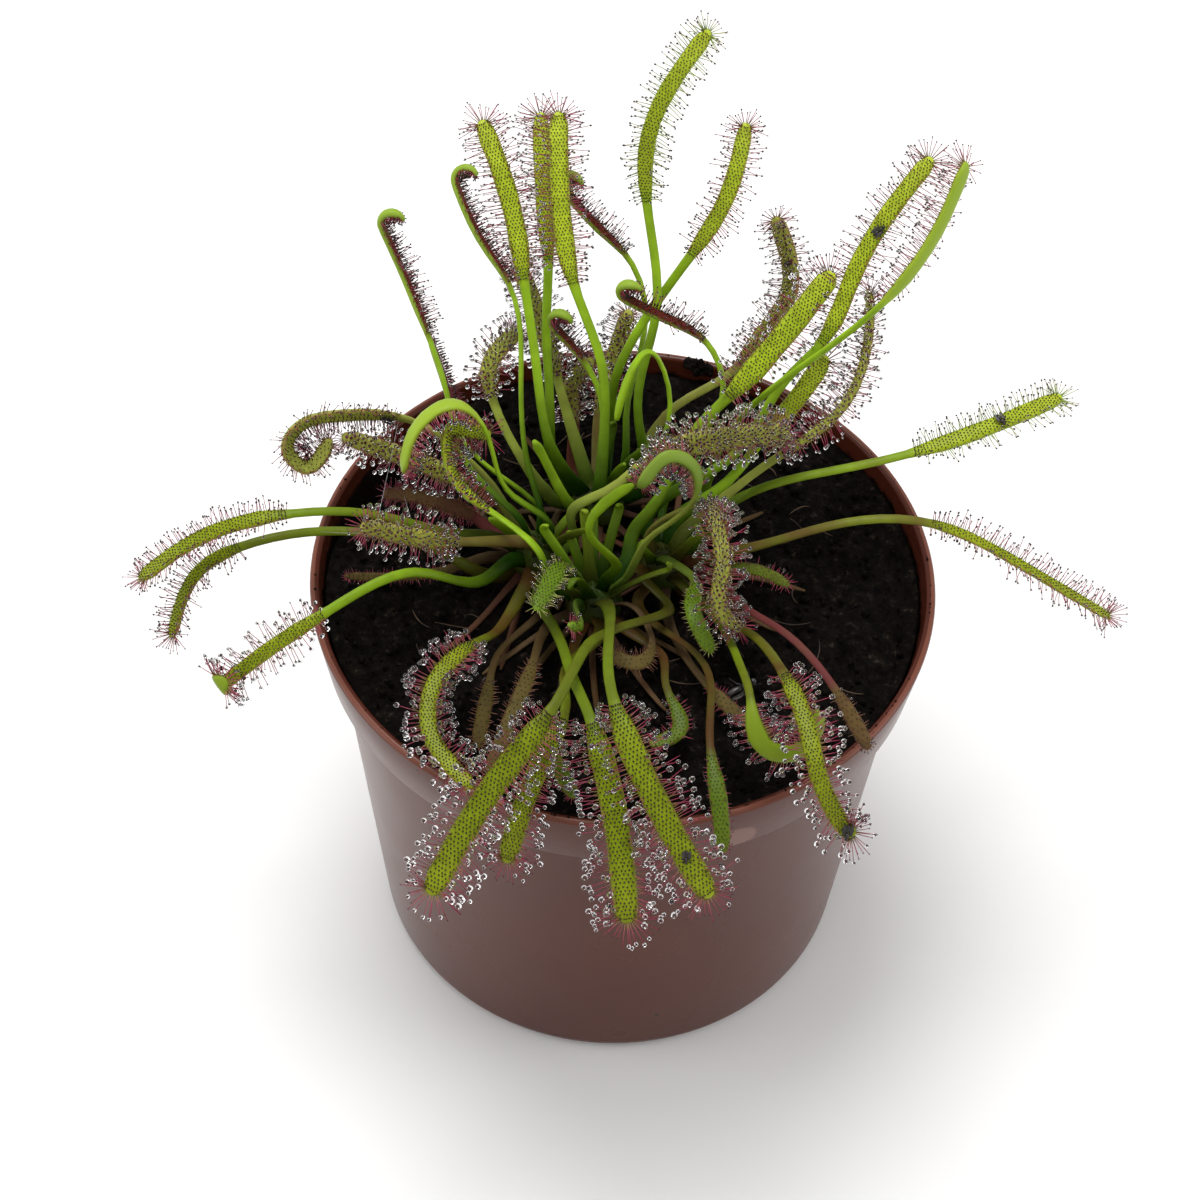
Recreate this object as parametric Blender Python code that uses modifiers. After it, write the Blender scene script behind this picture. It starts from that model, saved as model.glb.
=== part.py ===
"""A Cape sundew in a nine-centimetre nursery pot, at its real size.

The origin is on the ground under the middle of the pot, +Z is up and -Y is the front. Lengths below
are in millimetres and turn into metres where a mesh is made.
"""

import math
import random

import bmesh
import bpy
import numpy as np
from mathutils import Matrix

MM = 0.001

# Pot, all as outer sizes of a round thin-walled pot
POT_HEIGHT = 73.0
RIM_RADIUS = 45.0
COLLAR_HEIGHT = 10.5
COLLAR_RADIUS = 43.6
BODY_TOP_RADIUS = 41.8
BODY_FOOT_RADIUS = 37.2
FOOT_ROUNDING = 2.5
WALL = 1.4
FLOOR_LIFT = 1.6
FLOOR_THICKNESS = 1.4
RECESS_OUTER = 27.5
RECESS_INNER = 16.5
RECESS_DRAFT = 1.0
POT_STEPS = 36
HOLE_RADIUS = 3.0
HOLE_COUNT = 6
HOLE_CIRCLE = 22.0

# Peat
SOIL_EDGE = 70.0
SOIL_RISE = 1.0
SOIL_LUMP = 0.6
# where the peat has washed away at the wall: its middle, its spread and its depth
SOIL_PIT = (-37.0, 19.5, 8.0, 6.6)
SEAT_GAP = 0.3

# Crowns: the places of their middles, where the leaves start
CROWN_RADIUS = 4.6
CROWN_STUB_RADIUS = 3.2
CROWN_STUB_DEPTH = 5.0
CROWN_HEIGHT = 72.4
CROWNS = {
    "left": (-12.5, 1.5),
    "front": (-4.0, -6.8),
    "right": (5.8, 0.5),
    "back": (-4.4, 12.0),
}

# The leaves' places were read off the photo with the plant's foot this much lower. They rise with it along
# the line to the photo's eye, less and less up to the height where the rise ends, and less outside the pot.
FOOT_RISE = 8.8
RISE_FROM = 64.0
RISE_TO = 116.0
RISE_OUTSIDE = 0.4
PHOTO_EYE = (0.0, -227.3, 339.2)

# Leaves
BLADE_EDGE = 0.6
BLADE_THICKNESS = 1.1
STALK_THICKNESS = 1.2
BLADE_SHOULDER = 5.0
TIP_TAPER = 2.6
CURL_RADIUS = 1.7
STATION_STEP = 1.0
LEAF_GAP = 0.8
START_RUN = 1.2
COMB_ROUNDS = 320
LAST_ROUNDS = 80
COMB_SMOOTHING = 4
PAIRS_EVERY = 10

# Tentacles, each with the drop that it carries as a wider belly near its end
TENTACLE_ROOT_RADIUS = 0.18
DROP_RADIUS = 0.5
TENTACLE_SINK = 0.6
TENTACLE_CLEAR = 0.75
RANDOM_SEED = 7

# For each kind of leaf: stalk width, blade width, tentacle length, millimetres of blade to a pair of
# tentacles, colour, and roughness
KINDS = {
    "green": (1.9, 2.9, 4.5, 6.5, "#7F9A35", 0.45),
    "broad": (2.0, 3.3, 4.8, 6.5, "#86A038", 0.45),
    "young": (1.6, 2.3, 3.4, 6.5, "#6E8A30", 0.45),
    "dewy": (1.8, 2.8, 4.3, 6.5, "#8C7A4A", 0.45),
    "small": (1.5, 2.5, 3.2, 6.5, "#84924A", 0.5),
    "old": (1.4, 2.3, 2.6, 8.0, "#6B4A36", 0.7),
}

# Ways that a leaf's dewy side looks
CAMERA = (0.0, -0.63, 0.78)
UP = (0.0, -0.25, 0.97)
RIGHT = (1.0, -0.25, 0.15)
RIGHT_UP = (0.65, -0.2, 0.75)
LEFT_BACK = (-0.7, 0.45, -0.3)
BACK_UP = (0.0, 0.78, 0.63)
UNDER_RIGHT = (0.4, 0.65, -0.6)

# Each leaf: its crown, its kind, the way its dewy side looks, which of its places ends the stalk, how
# many degrees its tip curls beyond the last place, and the places that its midrib passes after the crown.
LEAVES = {
    "hook_far_left": ("left", "young", RIGHT, 2, 200,
        [(-23, 15, 76), (-27, 19, 90), (-29, 21, 96), (-33, 26, 104), (-36, 28, 111)]),
    "arch_left": ("left", "green", UNDER_RIGHT, 1, 50,
        [(-17, 9, 78), (-21, 10, 91), (-25, 9, 96), (-30, 7, 93), (-32, 6, 86)]),
    "hook_left": ("left", "young", RIGHT, 2, 200,
        [(-14, 15, 74), (-16, 20, 90), (-18, 25, 104), (-22, 28, 109), (-26, 33, 115)]),
    "tall_left": ("back", "green", CAMERA, 2, 0,
        [(-12, 18, 80), (-14, 22, 91), (-16, 27, 102), (-18, 33, 110), (-23, 42, 119)]),
    "tall_mid": ("back", "green", CAMERA, 2, 0,
        [(-4, 20, 80), (-5, 23, 92), (-9, 27, 102), (-11, 32, 110), (-12, 42, 121)]),
    "tall_mid_back": ("back", "green", CAMERA, 2, 0,
        [(-12, 24, 79), (-13, 30, 91), (-13, 34, 99), (-14, 40, 107), (-15, 48, 116)]),
    "hook_mid": ("back", "young", RIGHT_UP, 2, 210,
        [(-1, 25, 80), (1, 30, 95), (-2, 33, 103), (-6, 34, 107), (-11, 37, 111)]),
    "hook_mid_low": ("back", "young", RIGHT_UP, 2, 210,
        [(-4, 21, 77), (-4, 22, 84), (-6, 24, 89), (-11, 26, 95)]),
    "hook_right": ("right", "young", RIGHT_UP, 2, 210,
        [(9, 21, 76), (13, 24, 86), (10, 27, 93), (3, 27, 98), (-2, 27, 101)]),
    "tallest": ("back", "green", CAMERA, 2, 0,
        [(1, 24, 79), (3, 28, 98), (1, 33, 112), (1, 36, 125), (8, 41, 137)]),
    "tall_right": ("back", "green", CAMERA, 2, 0,
        [(-1, 27, 88), (3, 29, 97), (7, 30, 105), (12, 33, 115), (14, 39, 123)]),
    "back_bend": ("back", "dewy", CAMERA, 1, 30,
        [(6, 32, 73), (15, 35, 79), (19, 37, 85), (22.5, 39, 92), (20, 43, 102)]),
    "broad_right": ("front", "broad", CAMERA, 2, 0,
        [(6, 10, 74), (10, 15, 84), (14, 17, 89), (21, 21, 97), (29, 27, 106)]),
    "long_right_high": ("right", "green", CAMERA, 2, 0,
        [(14, 16, 80), (22, 20, 93), (26, 21, 98), (31, 27, 109), (40, 37, 120)]),
    "short_right": ("right", "green", CAMERA, 1, 0,
        [(12, 14, 75), (18, 18, 84), (22, 20, 90), (26, 24, 95)]),
    "back_turned_right": ("right", "green", LEFT_BACK, 2, 40,
        [(16, 18, 83), (29, 21, 100), (34, 22, 106), (41, 28, 115), (44, 33, 122)]),
    "dewy_mid": ("left", "dewy", CAMERA, 2, 0,
        [(-8, 8, 75), (-2, 7, 82), (2, 7, 87), (11, 8, 91), (23, 13, 88)]),
    "dewy_mid_bent": ("front", "dewy", (-0.5, 0.5, -0.6), 1, 60,
        [(3, 3.5, 75), (9, 5, 82), (9, 5, 90), (5, 3, 94), (2, 2, 90)]),
    "dewy_right": ("right", "dewy", (-0.4, -0.5, 0.7), 1, 0,
        [(14, 10, 78), (21, 13, 84), (29, 15, 93), (31.5, 20, 101), (31, 25, 107)]),
    "dewy_down": ("right", "dewy", CAMERA, 0, 0,
        [(11, 7, 79), (13, 0, 82), (14, -6, 80), (14, -11, 76), (17, -12, 73)]),
    "curl_front_right": ("right", "green", UNDER_RIGHT, 2, 60,
        [(14, -7, 72), (17, -20, 78), (18, -28, 81), (20, -35, 80), (25, -35, 80), (27, -31, 81)]),
    "front_right_low": ("right", "green", CAMERA, 1, 30,
        [(18, -10, 72), (22, -22, 79), (25, -33, 82), (27, -41, 80), (31, -45, 74)]),
    "thin_red_arc": ("right", "old", CAMERA, 2, 0,
        [(17, -3, 70), (23, -13, 76), (29, -25, 80), (34, -33, 77)]),
    "long_right": ("right", "green", UP, 2, 0,
        [(15, 12, 75), (29, 12, 83), (39, 11, 88), (50, 13, 92), (61, 19, 93)]),
    "long_right_low": ("right", "green", BACK_UP, 2, 0,
        [(18, 4, 74), (32, 3, 82), (42, 0, 86), (55, -2, 81), (70, -3, 71)]),
    "long_left": ("left", "green", UP, 2, 0,
        [(-24, 5, 73), (-36, 0, 82), (-46, -5, 87), (-58, -7, 84), (-68, -9, 76)]),
    "long_left_low": ("left", "green", UP, 2, 0,
        [(-25, 3, 70), (-40, 1, 77), (-53, -5, 80), (-60, -7, 76), (-64, -12, 67)]),
    "reddish_left": ("left", "dewy", CAMERA, 0, 0,
        [(-23, 1, 76), (-30, -2, 80), (-37, -3, 83)]),
    "over_rim_left": ("left", "green", CAMERA, 2, 150,
        [(-20, 0, 69), (-29, -6, 77), (-40, -17, 81), (-47, -22, 79), (-53, -24, 74)]),
    "spiral_left": ("left", "dewy", RIGHT, 1, 0,
        [(-24, 17, 75), (-33, 18, 82), (-42, 14, 86), (-47, 12, 86), (-49, 10, 83), (-46.5, 9.5, 80),
         (-43, 12.5, 83)]),
    "behind_arch": ("left", "dewy", CAMERA, 0, 0,
        [(-22, 16, 72), (-31, 16, 78), (-41, 14, 85)]),
    "upright_small_left": ("left", "young", RIGHT, 0, 0,
        [(-22, 19, 74), (-27, 25, 81), (-30, 29, 89)]),
    "curled_left": ("front", "green", (1.0, -0.3, 0.0), 1, 60,
        [(-12, -0.5, 76), (-19, 4, 79), (-25, 6, 86), (-25, 9, 90), (-21, 11, 88)]),
    "mid_left_short": ("back", "dewy", CAMERA, 1, 0,
        [(-15, 17, 74), (-20, 21, 83), (-21, 24, 88), (-17, 29, 91)]),
    "dewy_back": ("back", "dewy", CAMERA, 0, 0,
        [(-9, 28, 73), (-10, 30, 79), (-7, 31, 84)]),
    "young_loop": ("back", "young", (0.7, 0.0, -0.7), 2, 0,
        [(4, 16, 80), (5, 18, 93), (2, 18, 99), (-1, 16, 94), (-2, 15, 88)]),
    "young_s": ("front", "young", CAMERA, 1, 0,
        [(-1, 0, 73), (-5, -1, 82), (-2, 0, 88), (1, 0, 91)]),
    "front_left": ("right", "broad", CAMERA, 3, 0,
        [(6, -1, 66), (0.5, -9, 70.5), (-5, -22, 79), (-8, -33, 82), (-15, -44, 80), (-23, -55, 70)]),
    "front_mid": ("left", "broad", CAMERA, 3, 0,
        [(-11.5, 1, 67.5), (-9, -8, 70), (-6, -21, 77), (-3, -33, 82), (0, -44, 81), (3, -56, 68)]),
    "front_mid_right": ("front", "broad", CAMERA, 2, 0,
        [(-2, -10, 74), (-2, -23, 80), (-1, -32, 83), (5, -46, 81), (13, -54, 71)]),
    "front_left_under": ("front", "green", CAMERA, 1, 0,
        [(-7, -15, 69), (-7, -28, 75), (-10, -40, 78), (-13.5, -50, 71)]),
    "bent_front_left": ("left", "green", CAMERA, 1, 0,
        [(-17, -7, 67), (-20, -15, 73), (-25, -25, 76), (-25, -33, 77), (-18.5, -42.5, 77)]),
    "old_front_left": ("left", "old", CAMERA, 1, 0,
        [(-16, -8, 65), (-18, -17, 68), (-19, -28, 66)]),
    "old_front": ("front", "old", CAMERA, 0, 0,
        [(-12, -14, 68), (-14, -23, 68), (-17, -34, 66)]),
    "small_front": ("front", "small", CAMERA, 1, 0,
        [(-7, -14, 66), (-9, -28, 68), (-5, -37, 67)]),
    "young_dewy": ("front", "small", CAMERA, 0, 0,
        [(-8, 0, 73), (-10, -5, 76), (-12, -11, 76)]),
    "small_right": ("right", "small", CAMERA, 0, 0,
        [(10, 0, 71), (10, -7, 73), (13, -13, 70)]),
    "wavy_old": ("front", "old", CAMERA, 0, 0,
        [(5, -8, 67), (3, -13, 68), (-2, -11, 68)]),
    "low_front_right": ("front", "small", CAMERA, 1, 0,
        [(6, -9, 65), (7, -17, 67), (9, -23, 66), (5, -26, 66)]),
    "old_front_right": ("right", "small", CAMERA, 1, 0,
        [(10, -9, 67), (13, -33, 75), (14, -42, 77), (15, -48, 73)]),
    "low_right": ("right", "small", CAMERA, 0, 0,
        [(15, 5, 69), (19, 3, 71), (24, 2, 69)]),
    "old_pink_left": ("left", "old", CAMERA, 0, 0,
        [(-22, 14, 66), (-29, 15, 69), (-36, 14, 71)]),
    "dewy_far_back": ("back", "dewy", CAMERA, 0, 0,
        [(-5, 33, 69), (-3, 39, 77), (-1, 42, 84)]),
    "dewy_back_left": ("back", "dewy", CAMERA, 0, 0,
        [(-10, 30, 79), (-14, 36, 89), (-17, 39, 95)]),
}

# Small shoots and withered leaves that are grown into their crown's own node
FUSED = {
    "young_stub": ("back", "young", CAMERA, 0, 0,
        [(-12, 16, 77), (-14, 15, 83)]),
    "small_dark_front": ("front", "small", CAMERA, 0, 0,
        [(-6, -9, 70), (-8, -11, 72)]),
    "old_brown_right": ("right", "old", CAMERA, 0, 0,
        [(12, -14, 66), (18, -21, 66)]),
    "old_flat_left": ("left", "old", CAMERA, 0, 0,
        [(-25, 6, 64), (-41, 3, 64)]),
}


def clear_scene():
    for item in list(bpy.data.objects):
        bpy.data.objects.remove(item, do_unlink=True)


def new_collection(name, hidden=False):
    collection = bpy.data.collections.new(name)
    bpy.context.scene.collection.children.link(collection)
    collection.hide_render = hidden
    return collection


def linear(code):
    """An sRGB hex colour as linear red, green, blue and alpha."""
    parts = [int(code[place : place + 2], 16) / 255 for place in (1, 3, 5)]
    return [part / 12.92 if part < 0.04045 else ((part + 0.055) / 1.055) ** 2.4 for part in parts] + [1.0]


def material(name, code, roughness):
    made = bpy.data.materials.new(name)
    made.use_nodes = True
    shader = made.node_tree.nodes["Principled BSDF"]
    shader.inputs["Base Color"].default_value = linear(code)
    shader.inputs["Roughness"].default_value = roughness
    shader.inputs["Metallic"].default_value = 0.0
    made.diffuse_color = linear(code)
    return made


def add_object(name, mesh, collection, finish=None):
    made = bpy.data.objects.new(name, mesh)
    collection.objects.link(made)
    if finish:
        mesh.materials.append(finish)
    return made


def applied(item):
    """Puts the mesh that an object's modifiers give in the object's place and drops the modifiers."""
    graph = bpy.context.evaluated_depsgraph_get()
    mesh = bpy.data.meshes.new_from_object(item.evaluated_get(graph))
    item.modifiers.clear()
    item.data = mesh


def turned(name, profile, steps, collection, finish=None):
    """A solid turned from an outline, which is closed or starts and ends on the axis."""
    mesh = bpy.data.meshes.new(name)
    points = [(radius * MM, 0.0, height * MM) for radius, height in profile]
    mesh.from_pydata(points, [(i, i + 1) for i in range(len(points) - 1)], [])
    item = add_object(name, mesh, collection, finish)
    screw = item.modifiers.new("Turn", "SCREW")
    screw.axis = "Z"
    screw.steps = steps
    screw.render_steps = steps
    screw.use_merge_vertices = True
    screw.merge_threshold = 0.00001
    screw.use_smooth_shade = True
    applied(item)
    return item


def arc(centre, radius, start, end, count):
    """Points of an arc in the radius and height plane, its angles in degrees from the outward side."""
    angles = [math.radians(start + (end - start) * i / count) for i in range(count + 1)]
    return [(centre[0] + radius * math.cos(a), centre[1] + radius * math.sin(a)) for a in angles]


def boolean(item, operation, collection):
    cut = item.modifiers.new("Boolean", "BOOLEAN")
    cut.operation = operation
    cut.operand_type = "COLLECTION"
    cut.collection = collection
    cut.solver = "EXACT"
    applied(item)


def remove_collection(collection):
    for item in list(collection.objects):
        bpy.data.objects.remove(item, do_unlink=True)
    bpy.data.collections.remove(collection)


def inner_radius(height):
    """Inside of the pot's wall at a height: the collar's step comes through on the inside too."""
    collar_foot = POT_HEIGHT - COLLAR_HEIGHT
    if height >= collar_foot:
        share = (height - collar_foot) / COLLAR_HEIGHT
        return COLLAR_RADIUS + (RIM_RADIUS - COLLAR_RADIUS) * share - WALL
    share = (height - FOOT_ROUNDING) / (collar_foot - FOOT_ROUNDING)
    return BODY_FOOT_RADIUS + (BODY_TOP_RADIUS - BODY_FOOT_RADIUS) * share - WALL


def make_pot(collection):
    """The pot's outline goes down the outside, under the foot and up the inside."""
    collar_foot = POT_HEIGHT - COLLAR_HEIGHT
    floor_top = FLOOR_LIFT + FLOOR_THICKNESS
    profile = [(RIM_RADIUS - 0.4, POT_HEIGHT), (RIM_RADIUS, POT_HEIGHT - 0.5)]
    profile += [(COLLAR_RADIUS, collar_foot + 0.4), (COLLAR_RADIUS - 0.5, collar_foot)]
    profile += [(BODY_TOP_RADIUS, collar_foot - 0.6)]
    profile += arc((BODY_FOOT_RADIUS - FOOT_ROUNDING, FOOT_ROUNDING), FOOT_ROUNDING, 0, -90, 3)
    profile += [(RECESS_OUTER, 0.0), (RECESS_OUTER - RECESS_DRAFT, FLOOR_LIFT)]
    profile += [(RECESS_INNER + RECESS_DRAFT, FLOOR_LIFT), (RECESS_INNER, 0.0), (0.0, 0.0)]
    inside = [(0.0, floor_top), (inner_radius(floor_top), floor_top)]
    for height in (collar_foot - 1.0, collar_foot):
        inside.append((inner_radius(height), height))
    inside += [(inner_radius(POT_HEIGHT), POT_HEIGHT - 0.4), (RIM_RADIUS - WALL + 0.4, POT_HEIGHT)]
    plastic = material("pot", "#7E5848", 0.35)
    pot = turned("pot", profile + inside + profile[:1], POT_STEPS, collection, plastic)
    cutters = new_collection("pot_cutters", hidden=True)
    for i in range(HOLE_COUNT):
        angle = 2 * math.pi * (i + 0.5) / HOLE_COUNT
        x, y = HOLE_CIRCLE * math.cos(angle), HOLE_CIRCLE * math.sin(angle)
        bpy.ops.mesh.primitive_cylinder_add(
            vertices=12,
            radius=HOLE_RADIUS * MM,
            depth=12 * MM,
            location=(x * MM, y * MM, FLOOR_LIFT * MM),
        )
        move_to(bpy.context.object, cutters)
    boolean(pot, "DIFFERENCE", cutters)
    pot.data.shade_smooth()
    pot.data.set_sharp_from_angle(angle=math.radians(35))
    remove_collection(cutters)
    return pot


def move_to(item, collection):
    for owner in list(item.users_collection):
        owner.objects.unlink(item)
    collection.objects.link(item)
    item.hide_render = True
    item.display_type = "WIRE"


def soil_height(x, y):
    """Height of the peat: it rises a little to the middle, with slow lumps and a pit at the wall."""
    share = np.hypot(x, y) / inner_radius(SOIL_EDGE)
    lumps = np.sin(0.31 * x + 0.9) * np.cos(0.27 * y - 0.4) + 0.6 * np.sin(0.09 * x - 0.43 * y + 2.0)
    pit_x, pit_y, spread, depth = SOIL_PIT
    pit = depth * np.exp(-((x - pit_x) ** 2 + (y - pit_y) ** 2) / (2 * spread**2))
    return SOIL_EDGE + (1 - share**2) * (SOIL_RISE + SOIL_LUMP * lumps) - pit


def make_soil(collection):
    """The peat fills the pot down to its floor, with a gap to the wall, and has a hole for each crown."""
    floor = FLOOR_LIFT + FLOOR_THICKNESS + SEAT_GAP
    edge = inner_radius(SOIL_EDGE) - SEAT_GAP
    collar_foot = POT_HEIGHT - COLLAR_HEIGHT
    radii = [0.0, 7.0, 15.0, 22.0, 29.0, 35.0, 39.5, edge]
    profile = [(radius, SOIL_EDGE) for radius in radii]
    for height in (collar_foot, collar_foot - 1.0):
        profile.append((inner_radius(height) - SEAT_GAP, height + 0.25))
    profile += [(inner_radius(floor) - SEAT_GAP, floor), (0.0, floor)]
    soil = turned("soil", profile, POT_STEPS, collection, material("soil", "#241C1A", 0.95))
    for vertex in soil.data.vertices:
        x, y = vertex.co.x / MM, vertex.co.y / MM
        if vertex.co.z > (SOIL_EDGE - 1.0) * MM:
            height = float(soil_height(x, y))
            vertex.co.z = height * MM
            if math.hypot(x, y) > edge - 0.5:
                inward = (inner_radius(height) - SEAT_GAP) / edge
                vertex.co.x, vertex.co.y = x * inward * MM, y * inward * MM
    cutters = new_collection("soil_cutters", hidden=True)
    for x, y in CROWNS.values():
        bpy.ops.mesh.primitive_cylinder_add(
            vertices=12,
            radius=(CROWN_STUB_RADIUS + SEAT_GAP) * MM,
            depth=20 * MM,
            location=(x * MM, y * MM, (CROWN_HEIGHT - CROWN_STUB_DEPTH - SEAT_GAP + 10) * MM),
        )
        move_to(bpy.context.object, cutters)
    boolean(soil, "DIFFERENCE", cutters)
    remove_collection(cutters)
    return soil


def crown_profile():
    """A dome for the leaves to stand on, over a stub that goes down into the peat."""
    dome = arc((0.0, CROWN_HEIGHT), CROWN_RADIUS, 90, 0, 4)
    stub_end = CROWN_HEIGHT - CROWN_STUB_DEPTH
    stub = [(CROWN_STUB_RADIUS, CROWN_HEIGHT - 0.3), (CROWN_STUB_RADIUS, stub_end), (0.0, stub_end)]
    return dome + stub


def unit(vectors):
    vectors = np.asarray(vectors, float)
    return vectors / np.maximum(np.linalg.norm(vectors, axis=-1, keepdims=True), 1e-9)


def spread_starts(directions, reach):
    """Turns the directions in which leaves leave a crown until each has room beside its neighbours."""
    ways = unit(directions)
    room = 2 * (reach + LEAF_GAP / 2) / CROWN_RADIUS
    for _ in range(400):
        apart = ways[:, None] - ways[None, :]
        distance = np.linalg.norm(apart, axis=-1) + np.eye(len(ways))
        need = np.clip(room - distance, 0, None) * (1 - np.eye(len(ways)))
        ways = unit(ways + 0.3 * (apart / distance[..., None] * need[..., None]).sum(axis=1))
        ways[:, 2] = np.clip(ways[:, 2], 0.1, 1.0)
        ways = unit(ways)
    return ways


def smooth_route(places):
    """A natural cubic spline through the places, with a station about every millimetre."""
    places = np.asarray(places, float)
    knots = np.concatenate([[0], np.cumsum(np.linalg.norm(np.diff(places, axis=0), axis=1))])
    gaps = np.diff(knots)
    count = len(places)
    system = np.eye(count)
    right_side = np.zeros((count, 3))
    slopes = np.diff(places, axis=0) / gaps[:, None]
    for i in range(1, count - 1):
        system[i, i - 1 : i + 2] = gaps[i - 1], 2 * (gaps[i - 1] + gaps[i]), gaps[i]
        right_side[i] = 6 * (slopes[i] - slopes[i - 1])
    bend = np.linalg.solve(system, right_side)
    fine = np.linspace(0, knots[-1], 40 * count)
    piece = np.clip(np.searchsorted(knots, fine, side="right") - 1, 0, count - 2)
    after = (fine - knots[piece])[:, None]
    before = (knots[piece + 1] - fine)[:, None]
    width = gaps[piece][:, None]
    curve = (bend[piece] * before**3 + bend[piece + 1] * after**3) / (6 * width)
    curve += (places[piece] / width - bend[piece] * width / 6) * before
    curve += (places[piece + 1] / width - bend[piece + 1] * width / 6) * after
    return curve, fine, knots


def stations(curve):
    """The curve's points at even steps along it."""
    along = np.concatenate([[0], np.cumsum(np.linalg.norm(np.diff(curve, axis=0), axis=1))])
    count = max(6, int(round(along[-1] / STATION_STEP)) + 1)
    even = np.linspace(0, along[-1], count)
    return np.stack([np.interp(even, along, curve[:, axis]) for axis in range(3)], axis=1)


def frames(points, start, face):
    """Tangent, face and side at each station. The face is carried both ways from the start untwisted."""
    tangents = unit(np.gradient(points, axis=0))
    faces = np.zeros_like(points)
    faces[start] = unit(np.array(face) - tangents[start] * np.dot(face, tangents[start]))
    for walk in (range(start + 1, len(points)), range(start - 1, -1, -1)):
        before = start
        for here in walk:
            faces[here] = unit(faces[before] - tangents[here] * np.dot(faces[before], tangents[here]))
            before = here
    return tangents, faces, np.cross(tangents, faces)


def ease(share):
    share = min(max(share, 0.0), 1.0)
    return share * share * (3 - 2 * share)


def risen(place):
    """A place of a midrib, slid toward the photo's eye so that it suits the height of the peat."""
    place = np.asarray(place, float)
    spread = math.hypot(place[0], place[1])
    rise = FOOT_RISE * (1 - ease((place[2] - RISE_FROM) / (RISE_TO - RISE_FROM)))
    rise *= 1 - (1 - RISE_OUTSIDE) * ease((spread - 30) / 16)
    if spread < inner_radius(SOIL_EDGE) - 1.0:
        rise = max(rise, float(soil_height(place[0], place[1])) + 2.0 - place[2])
    return place + rise * (np.array(PHOTO_EYE) - place) / (PHOTO_EYE[2] - place[2])


def plan_leaf(name, centre, way):
    """A leaf's stations before combing, where its stalk ends, its middle station and its half widths."""
    _, kind, face, knee, curl, places = {**LEAVES, **FUSED}[name]
    base = np.array(centre) + (CROWN_RADIUS + SEAT_GAP) * np.array(way)
    leaving = base + START_RUN * np.array(way)
    curve, fine, knots = smooth_route([base, leaving, *map(risen, places)])
    knee_point = curve[np.argmin(abs(fine - knots[knee + 2]))]
    points = stations(curve)
    knee_at = int(np.argmin(np.linalg.norm(points - knee_point, axis=1)))
    middle = (knee_at + len(points) - 1) // 2
    if curl:
        tangents, faces, _ = frames(points, middle, face)
        turn = np.radians(np.arange(1, int(curl / 30) + 1) * 30)[:, None]
        hook = points[-1] + CURL_RADIUS * (np.sin(turn) * tangents[-1] + (1 - np.cos(turn)) * faces[-1])
        points = stations(np.concatenate([points, hook]))
    stalk, blade = KINDS[kind][0] / 2, KINDS[kind][1] / 2
    half = widths(len(points), knee_at, stalk, blade)
    return points, knee_at, middle, half


def widths(count, knee_at, stalk, blade):
    """Half width at each station: the stalk's, then the blade's after its shoulder, less at the tip."""
    step = np.arange(count) * STATION_STEP
    knee = knee_at * STATION_STEP
    shoulder = np.clip((step - knee) / BLADE_SHOULDER, 0, 1)
    half = stalk + (blade - stalk) * np.sin(shoulder * math.pi / 2) ** 2
    to_tip = np.clip((step[-1] - step) / TIP_TAPER, 0, 1)
    return half * np.sqrt(0.16 + 0.84 * to_tip * (2 - to_tip))


def near_pairs(points, owner, reach):
    """Pairs of stations on different leaves that are near enough to meet soon."""
    first, second = [], []
    for start in range(0, len(points), 400):
        block = slice(start, start + 400)
        distance = np.linalg.norm(points[block, None] - points[None], axis=-1)
        near = distance < reach[block, None] + reach[None] + LEAF_GAP + 1.5
        near &= owner[block, None] < owner[None]
        rows, columns = np.nonzero(near)
        first.append(rows + start)
        second.append(columns)
    return np.concatenate(first), np.concatenate(second)


def comb(routes, reaches, centres):
    """Pushes the leaves' midribs apart until each two are clear of each other, with their starts held."""
    points = np.concatenate(routes)
    reach = np.concatenate(reaches)
    owner = np.concatenate([np.full(len(route), i) for i, route in enumerate(routes)])
    along = np.concatenate([np.arange(len(route)) for route in routes])
    loose = np.clip((along - 1) / 4.0, 0, 1)[:, None]
    rest = points.copy()
    shift = np.zeros_like(points)
    inner = np.nonzero(owner[1:] == owner[:-1])[0]
    for turn in range(COMB_ROUNDS):
        if turn % PAIRS_EVERY == 0:
            first, second = near_pairs(points, owner, reach)
        apart = points[first] - points[second]
        distance = np.maximum(np.linalg.norm(apart, axis=1), 1e-6)
        need = np.clip(reach[first] + reach[second] + LEAF_GAP - distance, 0, None)
        push = apart / distance[:, None] * need[:, None]
        total = np.zeros_like(points)
        count = np.zeros(len(points))
        for places, sign in ((first, 0.5), (second, -0.5)):
            np.add.at(total, places, sign * push)
            np.add.at(count, places, need > 0)
        shift += total / np.maximum(count, 1)[:, None] * 1.3
        for centre in centres:
            away = points - centre
            distance = np.linalg.norm(away, axis=1)
            inside = np.clip(CROWN_RADIUS + reach + LEAF_GAP - distance, 0, None) * (along > 3)
            shift += away / distance[:, None] * inside[:, None]
        spread = np.hypot(points[:, 0], points[:, 1])
        floor = soil_height(points[:, 0], points[:, 1]) + reach + 0.9
        floor = np.where(spread > inner_radius(POT_HEIGHT) - 3.0, POT_HEIGHT + reach + 0.8, floor)
        floor = np.where(spread > RIM_RADIUS + 2.5, 0.0, floor)
        shift[:, 2] += 0.5 * np.clip(floor - points[:, 2], 0, None) * (along > 3)
        for _ in range(COMB_SMOOTHING if turn < COMB_ROUNDS - LAST_ROUNDS else 1):
            step = 0.25 * (shift[inner + 1] - shift[inner])
            shift[inner] += step
            shift[inner + 1] -= step
            shift *= loose
        points = rest + shift
    ends = np.cumsum([len(route) for route in routes])[:-1]
    return np.split(points, ends)


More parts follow.
